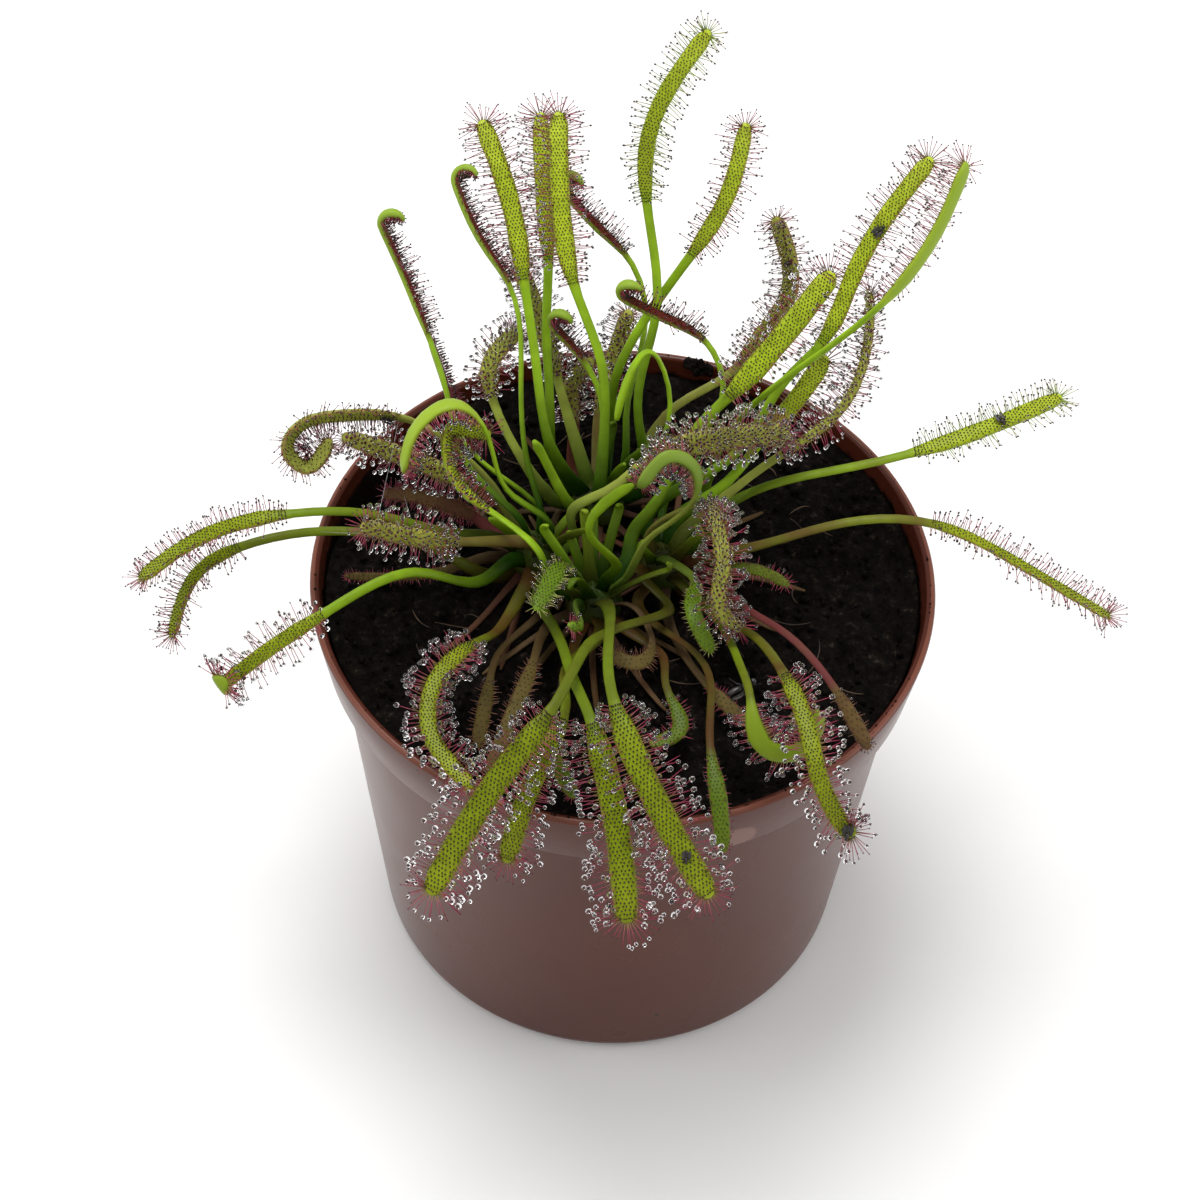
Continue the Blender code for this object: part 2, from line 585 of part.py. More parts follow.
def plan_plant():
    """Each leaf by name: its points, tangents, faces, sides, half widths and the end of its stalk."""
    table = {**LEAVES, **FUSED}
    plans = {}
    centres = {key: np.array([x, y, CROWN_HEIGHT]) for key, (x, y) in CROWNS.items()}
    for key, centre in centres.items():
        names = [name for name in table if table[name][0] == key]
        toward = np.array([risen(table[name][5][0]) for name in names]) - centre
        for name, way in zip(names, spread_starts(toward, 0.95)):
            plans[name] = plan_leaf(name, centre, way)
    names = list(table)
    routes = comb([plans[n][0] for n in names], [plans[n][3] for n in names], list(centres.values()))
    plant = {}
    for name, points in zip(names, routes):
        _, knee_at, middle, half = plans[name]
        plant[name] = (points, *frames(points, middle, table[name][2]), half, knee_at)
    return plant


def chosen_stations(points, tangents, knee_at):
    """The stations that the leaf's solid keeps: at bends, where its width changes, and in long runs."""
    last = len(points) - 1
    shoulder = min(knee_at + int(BLADE_SHOULDER), last - 3)
    keep = {0, knee_at, shoulder, last - 2, last}
    chosen = [0]
    turned_so_far = 0.0
    for here in range(1, last + 1):
        turned_so_far += math.acos(max(-1.0, min(1.0, float(tangents[here] @ tangents[here - 1]))))
        if here in keep or turned_so_far > math.radians(24) or here - chosen[-1] > 9:
            chosen.append(here)
            turned_so_far = 0.0
    return chosen


def loft(name, rings, collection, finish=None, point=None):
    """A closed solid through rings of as many points each, its far end flat or drawn to a point."""
    rings = np.asarray(rings, float)
    count, sides = rings.shape[:2]
    places = rings.reshape(-1, 3)
    top = [(count - 1) * sides + i for i in range(sides)]
    faces = [list(range(sides))[::-1]]
    if point is None:
        faces.append(top)
    else:
        places = np.concatenate([places, [point]])
        faces += [[top[i], top[(i + 1) % sides], count * sides] for i in range(sides)]
    for ring in range(count - 1):
        for i in range(sides):
            after = (i + 1) % sides
            low, high = ring * sides, (ring + 1) * sides
            faces.append([low + i, low + after, high + after, high + i])
    mesh = bpy.data.meshes.new(name)
    mesh.from_pydata((places * MM).tolist(), [], faces)
    mesh.update()
    shape = bmesh.new()
    shape.from_mesh(mesh)
    bmesh.ops.recalc_face_normals(shape, faces=shape.faces)
    shape.to_mesh(mesh)
    shape.free()
    return add_object(name, mesh, collection, finish)


def leaf_solid(name, plan, collection, finish):
    """Stalk and blade as one loft: each section is a flat hexagon with blunt edges."""
    points, tangents, faces, sides, half, knee_at = plan
    rings = []
    for here in chosen_stations(points, tangents, knee_at):
        blade = min(max((here - knee_at) / BLADE_SHOULDER, 0.0), 1.0)
        thick = (STALK_THICKNESS + (BLADE_THICKNESS - STALK_THICKNESS) * blade) / 2
        wide = half[here]
        outline = [(wide, -BLADE_EDGE / 2), (wide, BLADE_EDGE / 2), (0, thick)]
        outline += [(-wide, BLADE_EDGE / 2), (-wide, -BLADE_EDGE / 2), (0, -thick)]
        rings.append([points[here] + a * sides[here] + b * faces[here] for a, b in outline])
    return loft(name, rings, collection, finish)


def tentacle_rings(root, way, length):
    """A three-sided stalk, sunk at its root, that widens to its drop just before its end."""
    across = unit(np.cross(way, (0.31, 0.52, 0.79)))
    other = np.cross(way, across)
    rings = []
    radii = ((0.0, TENTACLE_ROOT_RADIUS), (length - DROP_RADIUS, DROP_RADIUS))
    for along, radius in radii:
        ring = []
        for corner in range(3):
            angle = 2 * math.pi * corner / 3
            outward = math.cos(angle) * across + math.sin(angle) * other
            ring.append(root + along * way + radius * outward)
        rings.append(ring)
    return rings


def tentacle_places(plan, kind, draw):
    """Roots, ways and lengths of a leaf's tentacles: along both edges, and a fan of three at the tip."""
    points, tangents, faces, sides, half, knee_at = plan
    _, _, length, spacing, _, _ = KINDS[kind]
    last = len(points) - 1
    count = max(2, int((last - knee_at) / spacing))
    chosen = chosen_stations(points, tangents, knee_at)
    every = np.arange(last + 1)
    coarse = np.stack([np.interp(every, chosen, points[chosen, axis]) for axis in range(3)], axis=1)
    found = []
    for i in range(count):
        for side in (1, -1):
            here = knee_at + 1.5 + (last - 2.5 - knee_at) * (i + (0.25 if side > 0 else 0.75)) / count
            here = int(min(here, last - 2))
            lift = math.radians(32 + 12 * draw.uniform(-1, 1))
            ahead = 0.25 * draw.uniform(-1, 1)
            way = side * math.cos(lift) * sides[here] + math.sin(lift) * faces[here]
            way = unit(way + ahead * tangents[here])
            root = coarse[here] + side * max(half[here] - TENTACLE_SINK, 0.1) * sides[here]
            found.append((root, way, length * draw.uniform(0.88, 1.1)))
    for fan in (-55, 0, 55):
        angle = math.radians(fan)
        way = unit(math.cos(angle) * tangents[last] + math.sin(angle) * sides[last] + 0.35 * faces[last])
        root = coarse[last - 1] + 0.4 * math.sin(angle) * sides[last]
        found.append((root, way, length * 0.9))
    return found


def is_clear(samples, own, points, owner, reach, others):
    """Whether a tentacle keeps clear of other leaves, the pot, the peat and the tentacles before it."""
    foreign = owner != own
    for sample in samples:
        distance = np.linalg.norm(points - sample, axis=1) - reach
        if (distance[foreign] < TENTACLE_CLEAR).any():
            return False
        spread = math.hypot(sample[0], sample[1])
        if RIM_RADIUS - WALL - 1.5 < spread < RIM_RADIUS + 1.2 and sample[2] < POT_HEIGHT + 1.0:
            return False
        if spread < RIM_RADIUS and sample[2] < float(soil_height(sample[0], sample[1])) + 1.0:
            return False
        if len(others) and (np.linalg.norm(np.array(others) - sample, axis=1) < 1.5).any():
            return False
    return True


def add_tentacles(item, name, plan, kind, scenery, placed, draw):
    """Joins a leaf's tentacles to it with one union."""
    points, owner, reach, names = scenery
    own = names.index(name)
    group = new_collection(name + "_tentacles", hidden=True)
    for number, (root, way, length) in enumerate(tentacle_places(plan, kind, draw)):
        samples = [root + way * along for along in np.linspace(1.2, length, 6)]
        if not is_clear(samples, own, points, owner, reach, placed):
            continue
        placed.extend(samples[2:])
        loft(f"{name}_{number}", tentacle_rings(root, way, length), group, point=root + length * way)
    if len(group.objects):
        boolean(item, "UNION", group)
    remove_collection(group)


def make_plant(collection):
    plant = plan_plant()
    names = list(plant)
    points = np.concatenate([plant[n][0] for n in names])
    owner = np.concatenate([np.full(len(plant[n][0]), i) for i, n in enumerate(names)])
    reach = np.concatenate([plant[n][4] for n in names])
    scenery = (points, owner, reach, names)
    finishes = {kind: material("leaf_" + kind, values[4], values[5]) for kind, values in KINDS.items()}
    draw = random.Random(RANDOM_SEED)
    placed = []
    for name, (_, kind, _, _, _, _) in LEAVES.items():
        item = leaf_solid(name, plant[name], collection, finishes[kind])
        add_tentacles(item, name, plant[name], kind, scenery, placed, draw)
    for key, (x, y) in CROWNS.items():
        crown = turned("crown_" + key, crown_profile(), 12, collection, finishes["green"])
        crown.data.transform(Matrix.Translation((x * MM, y * MM, 0.0)))
        group = new_collection("crown_" + key + "_shoots", hidden=True)
        for name, (owner_key, kind, _, _, _, _) in FUSED.items():
            if owner_key == key:
                shoot = sunk(plant[name])
                leaf_solid(name, shoot, group, None)
        if len(group.objects):
            boolean(crown, "UNION", group)
        remove_collection(group)


def sunk(plan):
    """A shoot whose first station goes down into the crown, so that the two grow together."""
    points = plan[0].copy()
    points[0] -= 2.0 * plan[1][0]
    return (points, *plan[1:])


def main():
    clear_scene()
    collection = new_collection("potted_sundew")
    make_pot(collection)
    make_soil(collection)
    make_plant(collection)


main()
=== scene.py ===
import itertools
import math

import bpy
import numpy as np
from mathutils import Matrix, Vector


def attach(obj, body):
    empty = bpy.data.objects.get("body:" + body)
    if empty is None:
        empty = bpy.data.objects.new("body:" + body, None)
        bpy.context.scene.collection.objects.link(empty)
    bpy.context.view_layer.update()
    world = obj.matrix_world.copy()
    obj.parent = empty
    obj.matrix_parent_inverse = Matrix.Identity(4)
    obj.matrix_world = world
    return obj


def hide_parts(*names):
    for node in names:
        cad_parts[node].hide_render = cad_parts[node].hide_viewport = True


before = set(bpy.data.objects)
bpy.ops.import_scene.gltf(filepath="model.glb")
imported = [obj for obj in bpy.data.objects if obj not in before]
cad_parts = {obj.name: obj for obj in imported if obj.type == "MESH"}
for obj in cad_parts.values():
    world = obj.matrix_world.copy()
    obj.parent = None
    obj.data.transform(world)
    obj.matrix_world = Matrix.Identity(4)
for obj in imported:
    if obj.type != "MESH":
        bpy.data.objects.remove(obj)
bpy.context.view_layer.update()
mm = 0.001  # lengths below are in millimetres until a mesh is made
draw = np.random.default_rng(11)


# Helpers

def toLinear(code):
    # sRGB hex to linear red, green, blue and alpha
    parts = np.array([int(code[i:i + 2], 16) for i in (1, 3, 5)]) / 255
    curve = np.where(parts < 0.04045, parts / 12.92, ((parts + 0.055) / 1.055) ** 2.4)
    return [*curve.tolist(), 1.0]


# of some kinds of node the output that is wanted and the settings, where others take the first and none
usualNodes = {"TexCoord": ("Object", {}), "Attribute": ("Fac", {}), "Mix": (2, {"data_type": "RGBA"})}


def setInputs(node, inputs):
    # an input is a plain value, a colour's hex code or the output that feeds it
    for key, value in inputs.items():
        if isinstance(value, bpy.types.NodeSocket):
            node.id_data.links.new(value, node.inputs[key])
        else:
            node.inputs[key].default_value = toLinear(value) if isinstance(value, str) else value


def addNode(material, kind, inputs=None, stops=(), out=None, **settings):
    # settings are the node's own properties; what comes back is the output asked for, or the usual one
    usualOut, usualSettings = usualNodes.get(kind, (0, {}))
    node = material.node_tree.nodes.new("ShaderNode" + kind)
    for key, value in {**usualSettings, **settings}.items():
        setattr(node, key, value)
    setInputs(node, inputs or {})
    for number, (place, code) in enumerate(stops):
        ramp = node.color_ramp.elements
        stop = ramp[number] if number < 2 else ramp.new(place)
        stop.position = place
        stop.color = toLinear(code)
    return node.outputs[usualOut if out is None else out]


def newMaterial(name, code, values):
    # a Principled surface with its plain values, and its shader to link more into
    material = bpy.data.materials.new(name)
    material.use_nodes = True
    material.diffuse_color = toLinear(code)
    shader = material.node_tree.nodes["Principled BSDF"]
    setInputs(shader, {"Base Color": code, **values})
    return material, shader


def mottledMaterial(name, code, values, grain, stops):
    # a surface whose colour a fine noise carries from one stop to the next
    material, shader = newMaterial(name, code, values)
    cloud = addNode(material, "TexNoise", {"Vector": addNode(material, "TexCoord"), **grain})
    setInputs(shader, {"Base Color": addNode(material, "ValToRGB", {0: cloud}, stops)})
    return material


def makePiece(name, points, faceSets, materials, attributes=None):
    # points in millimetres; faceSets holds (corner numbers, material number) for faces of like size
    mesh = bpy.data.meshes.new(name)
    corners = np.concatenate([faces.ravel() for faces, _ in faceSets])
    sizes = np.concatenate([np.full(len(faces), faces.shape[1]) for faces, _ in faceSets])
    kinds = np.concatenate([np.full(len(faces), kind) for faces, kind in faceSets])
    mesh.vertices.add(len(points))
    mesh.vertices.foreach_set("co", (points * mm).astype(np.float32).ravel())
    mesh.loops.add(len(corners))
    mesh.loops.foreach_set("vertex_index", corners.astype(np.int32))
    mesh.polygons.add(len(sizes))
    mesh.polygons.foreach_set("loop_start", (np.cumsum(sizes) - sizes).astype(np.int32))
    for finish in materials:
        mesh.materials.append(finish)
    mesh.polygons.foreach_set("material_index", kinds.astype(np.int32))
    mesh.polygons.foreach_set("use_smooth", np.ones(len(sizes), bool))
    for key, data in (attributes or {}).items():
        layer = mesh.attributes.new(key, "FLOAT", "POINT")
        layer.data.foreach_set("value", np.asarray(data, np.float32))
    mesh.update(calc_edges=True)
    piece = bpy.data.objects.new(name, mesh)
    bpy.context.scene.collection.objects.link(piece)
    return piece


def triangleCount(faceSets):
    return sum(len(faces) * (faces.shape[1] - 2) for faces, _ in faceSets)


def unit(vectors):
    return vectors / np.maximum(np.linalg.norm(vectors, axis=-1, keepdims=True), 1e-9)


def tiled(faces, size, count):
    # the faces of one shape with that many points, repeated for each of its copies
    return (faces[None] + size * np.arange(count)[:, None, None]).reshape(-1, faces.shape[1])


def ringFaces(rings, sides):
    # quads from each ring to the next; rings run round the way ahead as a right-hand screw turns
    low = np.arange((rings - 1) * sides).reshape(rings - 1, sides)
    after = np.roll(low, -1, axis=1)
    return np.stack([low, after, after + sides, low + sides], axis=-1).reshape(-1, 4)


def capFaces(first, sides, pole, ahead):
    # a fan from a pole to the ring that starts at that point number
    ring = first + np.arange(sides)
    after = np.roll(ring, -1)
    pair = (ring, after) if ahead else (after, ring)
    return np.stack([np.full(sides, pole), *pair], axis=-1)


def spun(profile, steps):
    # rings of points: radius * cos(a), radius * sin(a) and height, for each place of the profile
    profile = np.asarray(profile, float)
    angle = np.arange(steps) * 2 * math.pi / steps
    radius, height = profile[:, :1], profile[:, 1:]
    rings = np.stack([radius * np.cos(angle), radius * np.sin(angle), height + 0 * angle], axis=-1)
    return rings.reshape(-1, 3)


def turnedSurface(profile, steps):
    # a profile that starts and ends on the axis, spun and closed by a pole at each end; it runs from the top
    # of the axis down the outside, which is against the screw
    poles = np.array([[0, 0, profile[0][1]], [0, 0, profile[-1][1]]])
    rings = len(profile) - 2
    last = rings * steps
    caps = np.concatenate([capFaces(0, steps, last, True), capFaces(last - steps, steps, last + 1, False)])
    return np.concatenate([spun(profile[1:-1], steps), poles]), ringFaces(rings, steps)[:, ::-1], caps


def arcPoints(centre, radius, start, end, count):
    angle = np.radians(np.linspace(start, end, count))
    return np.stack([centre[0] + radius * np.cos(angle), centre[1] + radius * np.sin(angle)], axis=1).tolist()


def latticeNoise(x, y, cell, seed):
    # random heights on a square lattice with sides of cell, blended by smoothstep, from -1 to 1
    size = 128  # the lattice repeats after that many cells
    table = np.random.default_rng(seed).uniform(-1, 1, (size, size))
    u, v = x / cell + 500, y / cell + 500  # shifted, so that no place is negative
    i, j = np.floor(u).astype(int), np.floor(v).astype(int)
    s, t = u - i, v - j
    s, t = s * s * (3 - 2 * s), t * t * (3 - 2 * t)
    i, j, k, l = i % size, j % size, (i + 1) % size, (j + 1) % size
    return (table[i, j] * (1 - s) + table[k, j] * s) * (1 - t) + (table[i, l] * (1 - s) + table[k, l] * s) * t


# Pot: injection-moulded polypropylene, nine centimetres across its rim

potLooks = {
    "height": 73.0, "rimRadius": 45.0, "lipRadius": 0.65, "collarHeight": 10.5, "collarRadius": 43.6,
    "collarRounding": 0.6, "bodyTopRadius": 41.8, "bodyFootRadius": 37.2, "footRounding": 2.5, "wall": 1.4,
    "floorLift": 1.6, "floorThickness": 1.4, "recessOuter": 27.5, "recessInner": 16.5,
    "holeRadius": 3.0, "holeCircle": 22.0, "holeCount": 6, "steps": 160, "sharpAngle": 50,
    # insideColour is darker than the body as painted shade inside the pot
    # rimColour is lighter partly for wear and dust and partly as painted light glowing through the thin edge
    "bodyColour": "#52271B", "bodyDark": "#4B2218", "rimColour": "#704234", "insideColour": "#4A2116",
    "markColour": "#8A6258", "dustColour": "#2A1512", "peatStain": "#150E0C",
    "roughness": 0.24, "gateMark": (17.0, -40.5, 65.0),
}
collarFoot = potLooks["height"] - potLooks["collarHeight"]
floorTop = potLooks["floorLift"] + potLooks["floorThickness"]


def innerRadius(height):
    # the inside of the wall: the collar above its foot, and the tapering body below it
    p = potLooks
    share = (height - collarFoot) / p["collarHeight"]
    collar = p["collarRadius"] + (p["rimRadius"] - p["collarRadius"]) * share
    share = (height - p["footRounding"]) / (collarFoot - p["footRounding"])
    body = p["bodyFootRadius"] + (p["bodyTopRadius"] - p["bodyFootRadius"]) * share
    return np.where(np.asarray(height) >= collarFoot, collar, body) - p["wall"]


def makePotPlastic():
    # moulded polypropylene, IOR 1.49: a soft sheen that turns white at grazing angles, a faint ripple of the
    # moulding, a lip painted brighter, partly for wear and dust and partly as painted light glowing through
    # its thin edge, an inside painted darker as painted shade, and peat dust and smears on the inside
    p = potLooks
    values = {"IOR": 1.49, "Specular IOR Level": 0.22}
    material, shader = newMaterial("mouldedPolypropylene", p["bodyColour"], values)
    coords = addNode(material, "TexCoord")
    height = addNode(material, "SeparateXYZ", {0: coords}, out="Z")
    inside = addNode(material, "Attribute", attribute_name="inside")
    cloud = addNode(material, "TexNoise", {"Vector": coords, "Scale": 45, "Detail": 3})
    tint = addNode(material, "ValToRGB", {0: cloud}, [(0.3, p["bodyDark"]), (0.7, p["bodyColour"])])
    # the pale witness mark that the mould leaves on the collar, six millimetres across
    gate = [value * mm for value in p["gateMark"]]
    spot = addNode(material, "VectorMath", {0: coords, 1: gate}, out="Value", operation="DISTANCE")
    mark = addNode(material, "MapRange", {0: spot, 1: 3.4 * mm, 2: 2.7 * mm, 4: 0.5})
    marked = addNode(material, "Mix", {0: mark, 6: tint, 7: p["markColour"]})
    # the top 0.8 mm of the lip is painted lighter: partly wear and dust, partly painted light glowing through
    # the thin edge
    lip = addNode(material, "MapRange", {0: height, 1: (p["height"] - 0.8) * mm, 2: (p["height"] - 0.1) * mm})
    wornAndLitLip = addNode(material, "Mix", {0: lip, 6: marked, 7: p["rimColour"]})
    # specks of peat, 0.2 to 0.5 mm across, a few to each square centimetre
    cells = addNode(material, "TexVoronoi", {"Vector": coords, "Scale": 230, "Randomness": 1})
    chance = addNode(material, "SeparateColor", {0: cells.node.outputs["Color"]})
    few = addNode(material, "Math", {0: chance, 1: 0.93}, operation="GREATER_THAN")
    near = addNode(material, "Math", {0: cells, 1: 0.085}, operation="LESS_THAN")
    speck = addNode(material, "Math", {0: few, 1: near}, operation="MULTIPLY")
    dusted = addNode(material, "Mix", {0: speck, 6: wornAndLitLip, 7: p["dustColour"]})
    # the inside is painted darker than the outside, as painted shade in the pot's hollow, and smeared with
    # peat towards the soil
    smear = addNode(material, "TexNoise", {"Vector": coords, "Scale": 260, "Detail": 6, "Roughness": 0.7})
    low = addNode(material, "MapRange", {0: height, 1: (p["height"] - 0.2) * mm, 2: (p["height"] - 4) * mm})
    reach = addNode(material, "Math", {0: smear, 1: low}, operation="MULTIPLY")
    dirt = addNode(material, "MapRange", {0: reach, 1: 0.30, 2: 0.42})
    wall = addNode(material, "Mix", {0: dirt, 6: p["insideColour"], 7: p["peatStain"]})
    # ripples of the moulding, some fifteen millimetres wide and hardly deep
    flow = addNode(material, "TexNoise", {"Vector": coords, "Scale": 60, "Detail": 0})
    gloss = {0: cloud, 1: 0.2, 2: 0.8, 3: p["roughness"] - 0.05, 4: p["roughness"] + 0.07}
    setInputs(shader, {
        "Base Color": addNode(material, "Mix", {0: inside, 6: dusted, 7: wall}),
        "Roughness": addNode(material, "MapRange", gloss),
        "Normal": addNode(material, "Bump", {"Height": flow, "Strength": 0.12, "Distance": 0.0002}),
    })
    return material


def wallProfile():
    # the wall's outline as radius and height, and where its inside starts: the outside from the lip down to
    # the underside, then the inside from the floor up to the lip
    p = potLooks
    lip, bend, foot, body = p["lipRadius"], p["collarRounding"], p["footRounding"], p["bodyTopRadius"]
    outside = arcPoints((p["rimRadius"] - lip, p["height"] - lip), lip, 90, 0, 6)
    outside += [[p["collarRadius"] + 0.2, collarFoot + 1.2]]
    outside += arcPoints((p["collarRadius"] - bend, collarFoot + bend), bend, 0, -80, 5)
    outside += [[body + 0.25, collarFoot - 0.15], [body, collarFoot - 0.6], [body - 0.1, collarFoot - 2]]
    slope = (body - p["bodyFootRadius"]) / (collarFoot - foot)
    outside += [[body - slope * (collarFoot - z), z] for z in (45.0, 30.0, 15.0, 6.0)]
    outside += arcPoints((p["bodyFootRadius"] - foot, foot), foot, 0, -90, 9)
    outside += [[p["recessOuter"], 0], [p["recessOuter"] - 1, p["floorLift"]]]
    outside += [[p["recessInner"] + 1, p["floorLift"]], [p["recessInner"], 0]]
    inside = [[float(innerRadius(z)), z] for z in (floorTop, 30.0, collarFoot - 1, collarFoot, 67.0)]
    inside += arcPoints((p["rimRadius"] - p["wall"] + lip, p["height"] - lip), lip, 180, 90, 5)
    return np.array(outside + inside, float), len(outside)


def makePot():
    # one turned wall, closed at the lip and by a pole under and over its floor, and drilled from below
    p = potLooks
    steps = p["steps"]
    profile, inner = wallProfile()
    points = np.concatenate([spun(profile, steps), [[0, 0, 0], [0, 0, floorTop]]])
    count = len(profile) * steps
    noFloor = slice((inner - 1) * steps, inner * steps)  # quads that would join the underside to the floor
    quads = np.delete(ringFaces(len(profile), steps)[:, ::-1], noFloor, axis=0)
    seam = np.stack([np.arange(steps), np.roll(np.arange(steps), -1)], axis=1)
    closing = np.concatenate([seam, seam[:, ::-1] + (len(profile) - 1) * steps], axis=1)
    under = capFaces((inner - 1) * steps, steps, count, False)
    over = capFaces(inner * steps, steps, count + 1, True)
    within = np.concatenate([np.repeat(np.arange(len(profile)) >= inner, steps), [False, True]])
    sets = [(quads, 0), (closing, 0), (np.concatenate([under, over]), 0)]
    pot = makePiece("pot_wall", points, sets, [makePotPlastic()], {"inside": within})
    disc, sides, ends = turnedSurface([[0, 9], [p["holeRadius"], 9], [p["holeRadius"], -5], [0, -5]], 24)
    holes = p["holeCount"]
    turn = 2 * math.pi * (np.arange(holes) + 0.5) / holes
    places = p["holeCircle"] * np.stack([np.cos(turn), np.sin(turn), 0 * turn], axis=1)
    cutters = makePiece("pot_holes", (disc + places[:, None]).reshape(-1, 3),
                        [(tiled(sides, len(disc), holes), 0), (tiled(ends, len(disc), holes), 0)], [])
    cut = pot.modifiers.new("holes", "BOOLEAN")
    cut.operation, cut.solver, cut.object = "DIFFERENCE", "EXACT", cutters
    drilled = bpy.data.meshes.new_from_object(pot.evaluated_get(bpy.context.evaluated_depsgraph_get()))
    pot.modifiers.clear()
    pot.data = drilled
    bpy.data.objects.remove(cutters)
    drilled.set_sharp_from_angle(angle=math.radians(p["sharpAngle"]))
    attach(pot, "root")
    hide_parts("pot")
    print("pot turned and drilled")


# Peat: damp, crumbly, almost black

# the pit is where watering has washed the peat away from the wall: its middle, spread and depth; a clod lies
# on the rim at the back: its middle, spread and crumbs; the layers of roughness are clods three millimetres
# across, crumbs of one and a half and grains of three quarters, each with its height, cell and seed; a
# crumb's size is the first number and up to the second more, most of them small
peatLooks = {
    "edge": 70.0, "rise": 1.0, "lump": 0.6, "pit": (-37.0, 19.5, 8.0, 6.6), "gap": 0.3, "rings": 105,
    "steps": 340, "layers": ((0.55, 3.1, 1), (0.4, 1.5, 2), (0.3, 0.75, 3)),
    "crackDepth": 0.22, "crackCell": 1.3, "crumbs": 1700, "crumbReach": 41.8, "rimCrumbs": 60,
    "clod": ((10.2, 42.2, 72.0), 2.2, 60),
    "crumbSize": (0.18, 0.55, 2.4), "rimCrumbSize": (0.1, 0.12), "clodCrumbSize": (0.35, 0.45),
    "fibres": 40, "fibreSteps": 9, "fibreReach": 38.0, "fibreEdge": 41.5, "fibreLength": (2.5, 8.0),
    "colours": [(0.36, "#030202"), (0.58, "#110D0A"), (0.72, "#453A31")],
}


def peatHeight(x, y):
    share = np.hypot(x, y) / innerRadius(peatLooks["edge"])
    lumps = np.sin(0.31 * x + 0.9) * np.cos(0.27 * y - 0.4) + 0.6 * np.sin(0.09 * x - 0.43 * y + 2.0)
    pitX, pitY, spread, depth = peatLooks["pit"]
    pit = depth * np.exp(-((x - pitX) ** 2 + (y - pitY) ** 2) / (2 * spread ** 2))
    return peatLooks["edge"] + (1 - share ** 2) * (peatLooks["rise"] + peatLooks["lump"] * lumps) - pit


def makePeatMaterial():
    # milled sphagnum peat: matt black-brown crumbs that glint a little where they are wet, with pale fibres
    material, shader = newMaterial("milledPeat", "#0B0807", {"Specular IOR Level": 0.08, "IOR": 1.4})
    noise = {"Vector": addNode(material, "TexCoord"), "Scale": 620, "Detail": 8, "Roughness": 0.8}
    grain = addNode(material, "TexNoise", noise)
    setInputs(shader, {
        "Base Color": addNode(material, "ValToRGB", {0: grain}, peatLooks["colours"]),
        "Roughness": addNode(material, "MapRange", {0: grain, 1: 0.45, 2: 0.7, 3: 0.9, 4: 0.45}),
        "Normal": addNode(material, "Bump", {"Height": grain, "Strength": 0.8, "Distance": 0.0005}),
    })
    return material


def makePeat():
    p = peatLooks
    edge = float(innerRadius(p["edge"])) - p["gap"]
    bottom = floorTop + p["gap"]
    profile = [[r, p["edge"]] for r in np.linspace(0, edge, p["rings"] + 1)]
    profile += [[float(innerRadius(z)) - p["gap"], z + 0.25] for z in (collarFoot, collarFoot - 1)]
    profile += [[float(innerRadius(bottom)) - p["gap"], bottom], [0, bottom]]
    points, quads, caps = turnedSurface(profile, p["steps"])
    top = points[:, 2] > p["edge"] - 1
    x, y = points[top, 0], points[top, 1]
    rough = sum(high * latticeNoise(x, y, cell, seed) for high, cell, seed in p["layers"])
    rough -= p["crackDepth"] * np.abs(latticeNoise(x + 7, y, p["crackCell"], 4))
    out = np.hypot(x, y) / edge
    height = peatHeight(x, y) + rough * np.clip((1.02 - out) * 12, 0.3, 1)  # calmer by the wall
    points[top, 2] = height
    # where the peat is low by the wall its rim draws in with the wall
    inward = np.minimum((innerRadius(height) - p["gap"]) / edge, 1) - 1
    inward = 1 + inward * np.clip((out - 0.9) / 0.1, 0, 1)
    points[top, 0], points[top, 1] = x * inward, y * inward
    peat = makePiece("peat", points, [(quads, 0), (caps, 0)], [makePeatMaterial()])
    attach(peat, "root")
    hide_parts("soil")
    return peat.data.materials[0]


def icosahedron():
    # twelve corners from the golden ratio, and the twenty triples of them that lie close together
    gold = (1 + 5 ** 0.5) / 2
    corner = np.array([[0, a, b * gold] for a in (-1, 1) for b in (-1, 1)])
    ball = unit(np.concatenate([corner, np.roll(corner, 1, axis=1), np.roll(corner, 2, axis=1)]))
    triples = np.array(list(itertools.combinations(range(12), 3)))
    one, two, three = (ball[triples[:, k]] for k in range(3))
    sides = ((one, two), (two, three), (one, three))
    longest = np.max([np.linalg.norm(u - v, axis=1) for u, v in sides], axis=0)
    outward = (np.cross(two - one, three - one) * one).sum(axis=1) > 0
    return ball, np.where(outward[:, None], triples, triples[:, ::-1])[longest < 1.2]


